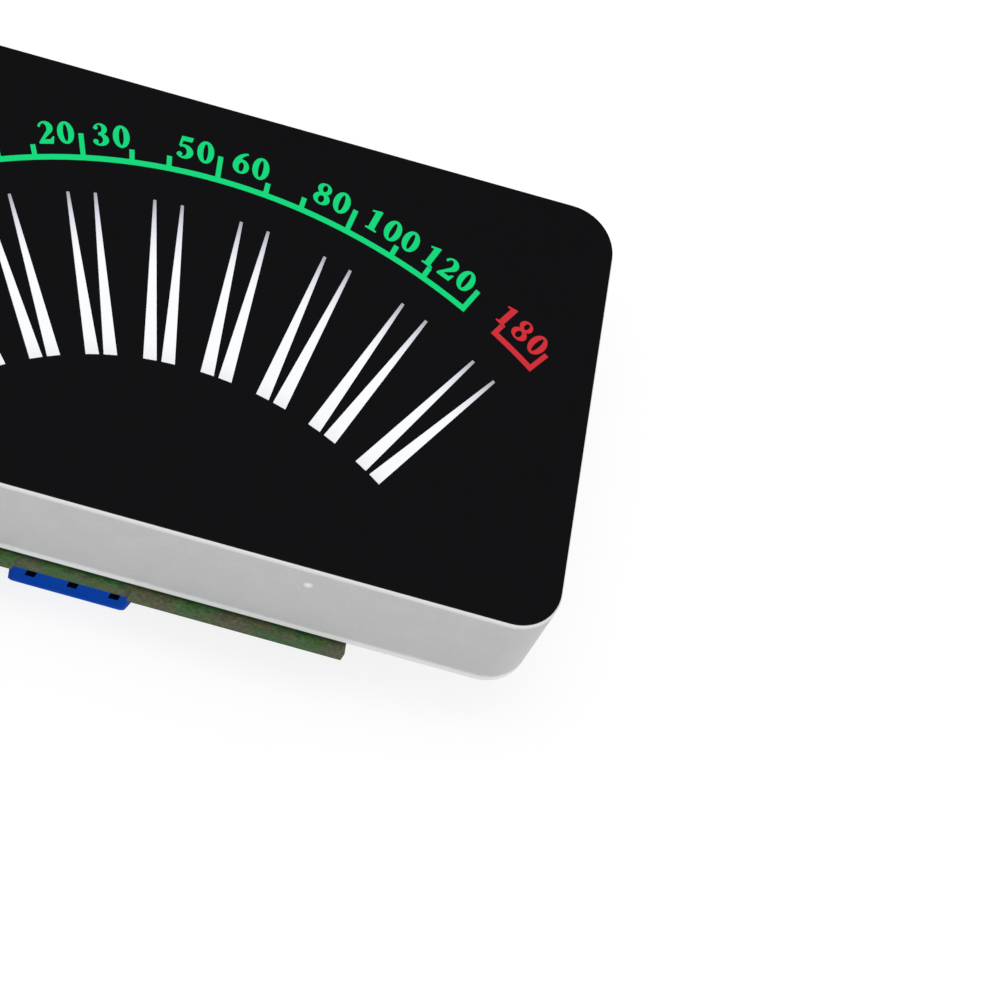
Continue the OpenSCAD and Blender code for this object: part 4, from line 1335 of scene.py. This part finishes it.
@dataclass
class Terminals:
    """Two blue screw terminals with their screws, cages and contacts."""

    pitch: float = 5.08 * MM
    groove_width: float = 0.35 * MM
    groove_depth: float = 0.3 * MM
    groove_start: float = 1.2 * MM
    groove_past: float = 1 * MM
    rib_depth: float = 0.55 * MM
    rib_width: float = 1.6 * MM
    rib_place: float = 2.2 * MM
    rib_root: float = 0.1 * MM
    rib_ends: Point = (1.6 * MM, 0.4 * MM)
    rib_flare: float = 1.35
    rib_edge: float = 0.12 * MM
    edge: float = 0.22 * MM
    edge_steps: int = 3
    screw_edge: float = 0.1 * MM
    screw_angle: float = 50.0
    shank_radius: float = 1.25 * MM
    shank_ease: float = 0.975

    def inside(self, body: bpy.types.Object, face: bpy.types.MeshPolygon, front: float) -> bool:
        """Tells whether a face lies in a hollow: it looks at its own piece, or out from behind the front."""
        looks_out = face.normal.y < -FACING and face.center.y > front + self.groove_depth
        return looks_out or body.ray_cast(face.center + face.normal * NEAR, face.normal)[0]

    def block(self, node: str, poles: int, name: str) -> None:
        """Models one terminal's housing, with grooves between its poles, a rib at its end and painted shade
        in its hollows.

        Args:
            node: The CAD node.
            poles: How many poles it has.
            name: Name of the piece.
        """
        low, high = box(node)
        body = copy_node(node, name)
        for index in range(1, poles):
            x = low.x + index * self.pitch
            half = Vector((self.groove_width / 2, 0, self.groove_depth))
            carve(body, block(Vector((x, low.y + self.groove_start, low.z)) - half,
                              Vector((x, high.y + self.groove_past, low.z)) + half))
        # Faces in the hollows take the dark navy copy of the blue: painted shade.
        body.data.materials.clear()
        for finish in (TERMINAL, TERMINAL_PAINTED_SHADE):
            body.data.materials.append(finish.material())
        for face in body.data.polygons:
            face.material_index = int(self.inside(body, face, low.y))
        soften(body, self.edge, self.edge_steps)
        y = high.y - self.rib_place
        rib = block(Vector((high.x - self.rib_root, y - self.rib_width / 2, low.z + self.rib_ends[0])),
                    Vector((high.x + self.rib_depth, y + self.rib_width / 2, high.z - self.rib_ends[1])))
        with editing(rib):
            pick(rib, "faces", lambda face: face.normal.x > FACING)
            bpy.ops.transform.resize(value=(1, self.rib_flare, 1))
        soften(rib, self.rib_edge)
        rib.data.materials.append(TERMINAL.material())
        carve(body, rib, "UNION")
        settle(smooth(body), None, stands_for=(node,))

    def screw(self, node: str) -> None:
        """Models one clamp screw with eased edges and a shank that clears the cage's sides.

        Args:
            node: The CAD node, which is also the body's name.
        """
        piece = copy_node(node, f"{node}_turned")
        axis = middle(node)
        with editing(piece, "VERT"):
            pick(piece, "verts", lambda corner: (corner.co.xy - axis.xy).length < self.shank_radius + NEAR)
            bpy.ops.transform.resize(value=(self.shank_ease, self.shank_ease, 1), center_override=axis)
        soften(piece, self.screw_edge, angle=self.screw_angle)
        settle(piece, STEEL, node, (node,))

    def build(self) -> None:
        """Builds both terminals."""
        self.block("audio_terminal", 3, "audio_block")
        self.block("power_terminal", 2, "power_block")
        dress(CONTACT, "terminal_contacts")
        for pole in ("audio_{}_left", "audio_{}_ground", "audio_{}_right",
                     "power_{}_minus", "power_{}_plus"):
            self.screw(pole.format("screw"))
            dress(CONTACT, pole.format("cage"))


@dataclass
class Trimmers:
    """Two gain trimmers with slotted rotors."""

    edge: float = 0.18 * MM
    rotor_edge: float = 0.09 * MM

    def build(self) -> None:
        """Builds the trimmers."""
        ease("trimmer_bodies", "trimmer_cases", self.edge, TRIMMER)
        dress(TIN, "trimmer_legs")
        for node in ("left_gain_rotor", "right_gain_rotor"):
            ease(node, f"{node}_eased", self.rotor_edge, ROTOR, node)


@dataclass
class Capacitors:
    """Two chip electrolytic capacitors: rolled cans with a polarity mark, on plastic bases."""

    radius: float = 5.0 * MM
    foot: Point = (0.2 * MM, 0.25 * MM)
    waist: float = 1.45 * MM
    groove: float = 0.45 * MM
    groove_steps: int = 4
    groove_spread: float = 0.28
    rim: float = 0.5 * MM
    rim_steps: int = 5
    lip: Point = (0.25 * MM, 0.45 * MM)
    dish: float = 0.08 * MM
    sides: int = 56
    smooth_angle: float = 50.0
    mark_share: float = 0.42
    mark_gap: float = 0.6 * MM
    mark_lift: float = 0.75
    mark_depth: float = 0.5
    base_edge: float = 0.15 * MM

    def profile(self, height: float, start: float) -> list[Point]:
        """Draws half the section of a can.

        Args:
            height: Its end's distance from the board.
            start: Its start's distance from the board.

        Returns:
            Radius and distance from the board of each ring.
        """
        rings = [(self.radius - self.foot[0], start), (self.radius, start + self.foot[1])]
        for step in range(-self.groove_steps, self.groove_steps + 1):
            depth = self.groove * (1 + math.cos(math.pi * step / self.groove_steps)) / 2
            place = start + self.waist + step * self.groove * self.groove_spread
            rings.append((self.radius - depth, place))
        for step in range(self.rim_steps + 1):
            turn = math.pi / 2 * step / self.rim_steps
            rings.append((self.radius - self.rim * (1 - math.cos(turn)),
                          height - self.rim * (1 - math.sin(turn))))
        inner = self.radius - self.rim
        rings += [(inner - self.lip[0], height), (inner - self.lip[1], height - self.dish)]
        return rings

    def build(self) -> None:
        """Builds the capacitors."""
        low, high = box("capacitor_cans")
        board = box("driver_board")[0].z
        centres = [Vector((x, (low.y + high.y) / 2, board))
                   for x in (low.x + self.radius, high.x - self.radius)]
        can = lathe(centres[0], self.profile(board - low.z, board - high.z), self.sides)
        smooth(can, self.smooth_angle)
        moves = [centre - centres[0] for centre in centres]
        settle(repeat(can, moves, "rolled_cans"), ALUMINIUM, stands_for=("capacitor_cans",))
        ease("capacitor_bases", "eased_bases", self.base_edge, BASE)
        reach = self.radius - self.rim - self.mark_gap
        mark_z = low.z + self.dish * self.mark_lift
        deselect()
        bpy.ops.mesh.primitive_circle_add(vertices=self.sides, radius=reach, fill_type="NGON",
                                          location=(centres[0].x, centres[0].y, mark_z))
        bpy.ops.object.transform_apply(location=True, rotation=True, scale=True)
        mark = bpy.context.object
        with editing(mark):
            bpy.ops.mesh.select_all(action="SELECT")
            bpy.ops.mesh.bisect(plane_co=centres[0] + Vector((reach * self.mark_share, 0, 0)),
                                plane_no=(1, 0, 0), clear_inner=True)
        thicken(mark, self.dish * self.mark_depth)
        settle(repeat(mark, moves, "polarity_marks"), MARK)


@dataclass
class Chips:
    """Three moulded chips with their leads, and the regulator on its tab."""

    edge: float = 0.06 * MM
    regulator_edge: float = 0.16 * MM
    dimple_radius: float = 0.55 * MM
    dimple_flare: float = 1.25
    dimple_reach: float = 0.4 * MM
    dimple_depth: float = 0.12 * MM
    dimple_inset: float = 1.3 * MM
    dimple_sides: int = 28

    def chip(self, node: str) -> None:
        """Models one chip with a dimple by its first lead.

        Args:
            node: The CAD node.
        """
        low = box(node)[0]
        body = copy_node(node, f"{node}_moulded")
        start = Vector((low.x + self.dimple_inset, low.y + self.dimple_inset, low.z + self.dimple_depth))
        rings = [(self.dimple_radius, 0.0), (self.dimple_radius * self.dimple_flare, self.dimple_reach)]
        carve(body, lathe(start, rings, self.dimple_sides))
        settle(soften(body, self.edge), EPOXY, stands_for=(node,))

    def build(self) -> None:
        """Builds the chips and the regulator."""
        for node in ("lamp_driver_chip", "control_chip", "preamp_chip"):
            self.chip(node)
        ease("regulator", "regulator_moulded", self.regulator_edge, EPOXY)
        dress(TIN, "chip_leads", "regulator_tab")


@dataclass
class SmallParts:
    """Rows of chip resistors and ceramic capacitors with their tinned ends."""

    edge: float = 0.07 * MM

    def build(self) -> None:
        """Builds the small parts."""
        ease("resistors", "glazed_resistors", self.edge, GLAZE)
        ease("ceramic_capacitors", "fired_capacitors", self.edge, CERAMIC)
        ease("small_part_ends", "tinned_ends", self.edge, TIN)


@dataclass
class Studio:
    """White floor, soft light and the camera of the photograph."""

    photo: int = 1001
    px_per_mm: float = 8.6873
    face_px: Point = (194.81, 317.29)
    distance: float = 3.458
    right: Place = (0.94331, 0.12872, 0.30579)
    up: Place = (-0.2622, 0.85403, 0.44936)
    back: Place = (-0.20337, -0.50413, 0.83938)
    sensor: float = 36.0
    far_share: float = 4.0
    floor_size: float = 3.0
    floor_glow: float = 0.84
    floor_shade: float = 0.18
    floor_bounce: float = 0.82
    sky: float = 0.585
    key_power: float = 5.85
    key_place: Place = (-0.25, -0.2, 1.1)
    key_size: float = 0.7
    side_power: float = 1.8
    side_place: Place = (0.9, 0.0, 0.06)
    side_size: float = 0.4

    def seen(self, graph: Graph) -> bpy.types.NodeSocket:
        """Finds what is looked at rather than lit.

        Args:
            graph: Graph of a floor or world.

        Returns:
            Socket that is 1 for camera, glossy and transmission rays.
        """
        path = graph.add("ShaderNodeLightPath").outputs
        both = graph.sum("MAXIMUM", path["Is Camera Ray"], path["Is Glossy Ray"])
        return graph.sum("MAXIMUM", both, path["Is Transmission Ray"])

    def place_camera(self) -> None:
        """Sets the camera at the photograph's angle and size."""
        data = bpy.data.cameras.new("camera")
        camera = bpy.data.objects.new("camera", data)
        bpy.context.scene.collection.objects.link(camera)
        right, up, back = Vector(self.right), Vector(self.up), Vector(self.back)
        centre = Vector((0, 0, box("face_film")[1].z))
        across = (self.photo / 2 - self.face_px[0]) / self.px_per_mm * MM
        rise = (self.face_px[1] - self.photo / 2) / self.px_per_mm * MM
        turn = Matrix((right, up, back)).transposed()
        place = centre + right * across + up * rise + back * self.distance
        camera.matrix_world = Matrix.Translation(place) @ turn.to_4x4()
        data.sensor_width = self.sensor
        data.lens = self.px_per_mm / MM * self.distance * self.sensor / self.photo
        data.clip_end = self.distance * self.far_share
        bpy.context.scene.camera = camera

    def lay_floor(self) -> None:
        """Lays a white floor that keeps a light shadow and can be seen through from below."""
        deselect()
        bpy.ops.mesh.primitive_plane_add(size=self.floor_size, location=(0, 0, -NEAR))
        floor = named(bpy.context.object, "floor")
        material = bpy.data.materials.new("floor_white")
        graph = start_graph(material)
        glow = graph.add("ShaderNodeEmission", Strength=self.floor_glow).outputs[0]
        shade, lit = (graph.add("ShaderNodeBsdfDiffuse", Color=(tone, tone, tone, 1.0)).outputs[0]
                      for tone in (self.floor_shade, self.floor_bounce))
        shown = graph.feed_row(graph.add("ShaderNodeAddShader"), 0, glow, shade)[0]
        top = graph.feed_row(graph.add("ShaderNodeMixShader", Fac=self.seen(graph)), 1, lit, shown)[0]
        clear = graph.add("ShaderNodeBsdfTransparent").outputs[0]
        behind = graph.add("ShaderNodeNewGeometry").outputs["Backfacing"]
        sides = graph.feed_row(graph.add("ShaderNodeMixShader", Fac=behind), 1, top, clear)[0]
        graph.add("ShaderNodeOutputMaterial", Surface=sides)
        floor.data.materials.append(material)

    def hang(self, name: str, power: float, size: float, place: Place) -> None:
        """Hangs a soft lamp that looks at the object.

        Args:
            name: Name of the lamp.
            power: Its power in watts.
            size: Its width.
            place: Its place.
        """
        data = bpy.data.lights.new(name, "AREA")
        data.energy = power
        data.size = size
        lamp = bpy.data.objects.new(name, data)
        lamp.location = place
        lamp.rotation_euler = Vector(place).to_track_quat("Z", "Y").to_euler()
        lamp.visible_camera = False
        bpy.context.scene.collection.objects.link(lamp)

    def light(self) -> None:
        """Sets the sky, a large soft lamp above and a small one low at the right."""
        world = bpy.data.worlds.new("studio")
        bpy.context.scene.world = world
        graph = start_graph(world)
        sky, white = (graph.add("ShaderNodeBackground", Color=WHITE, Strength=strength).outputs[0]
                      for strength in (self.sky, 1.0))
        both = graph.feed_row(graph.add("ShaderNodeMixShader", Fac=self.seen(graph)), 1, sky, white)[0]
        graph.add("ShaderNodeOutputWorld", Surface=both)
        self.hang("key", self.key_power, self.key_size, self.key_place)
        self.hang("side", self.side_power, self.side_size, self.side_place)

    def build(self) -> None:
        """Builds the studio."""
        self.place_camera()
        self.lay_floor()
        self.light()
        bpy.context.scene.view_settings.view_transform = "Standard"


def main() -> None:
    """Builds the sub-assemblies in order, then the studio."""
    logging.basicConfig(level=logging.INFO, format="%(message)s")
    for part in (Face(), Housing(), LampBoard(), DriverBoard(), Terminals(), Trimmers(), Capacitors(),
                 Chips(), SmallParts(), Studio()):
        LOG.info("building %s", type(part).__name__)
        part.build()


if __name__ == "__main__":
    main()
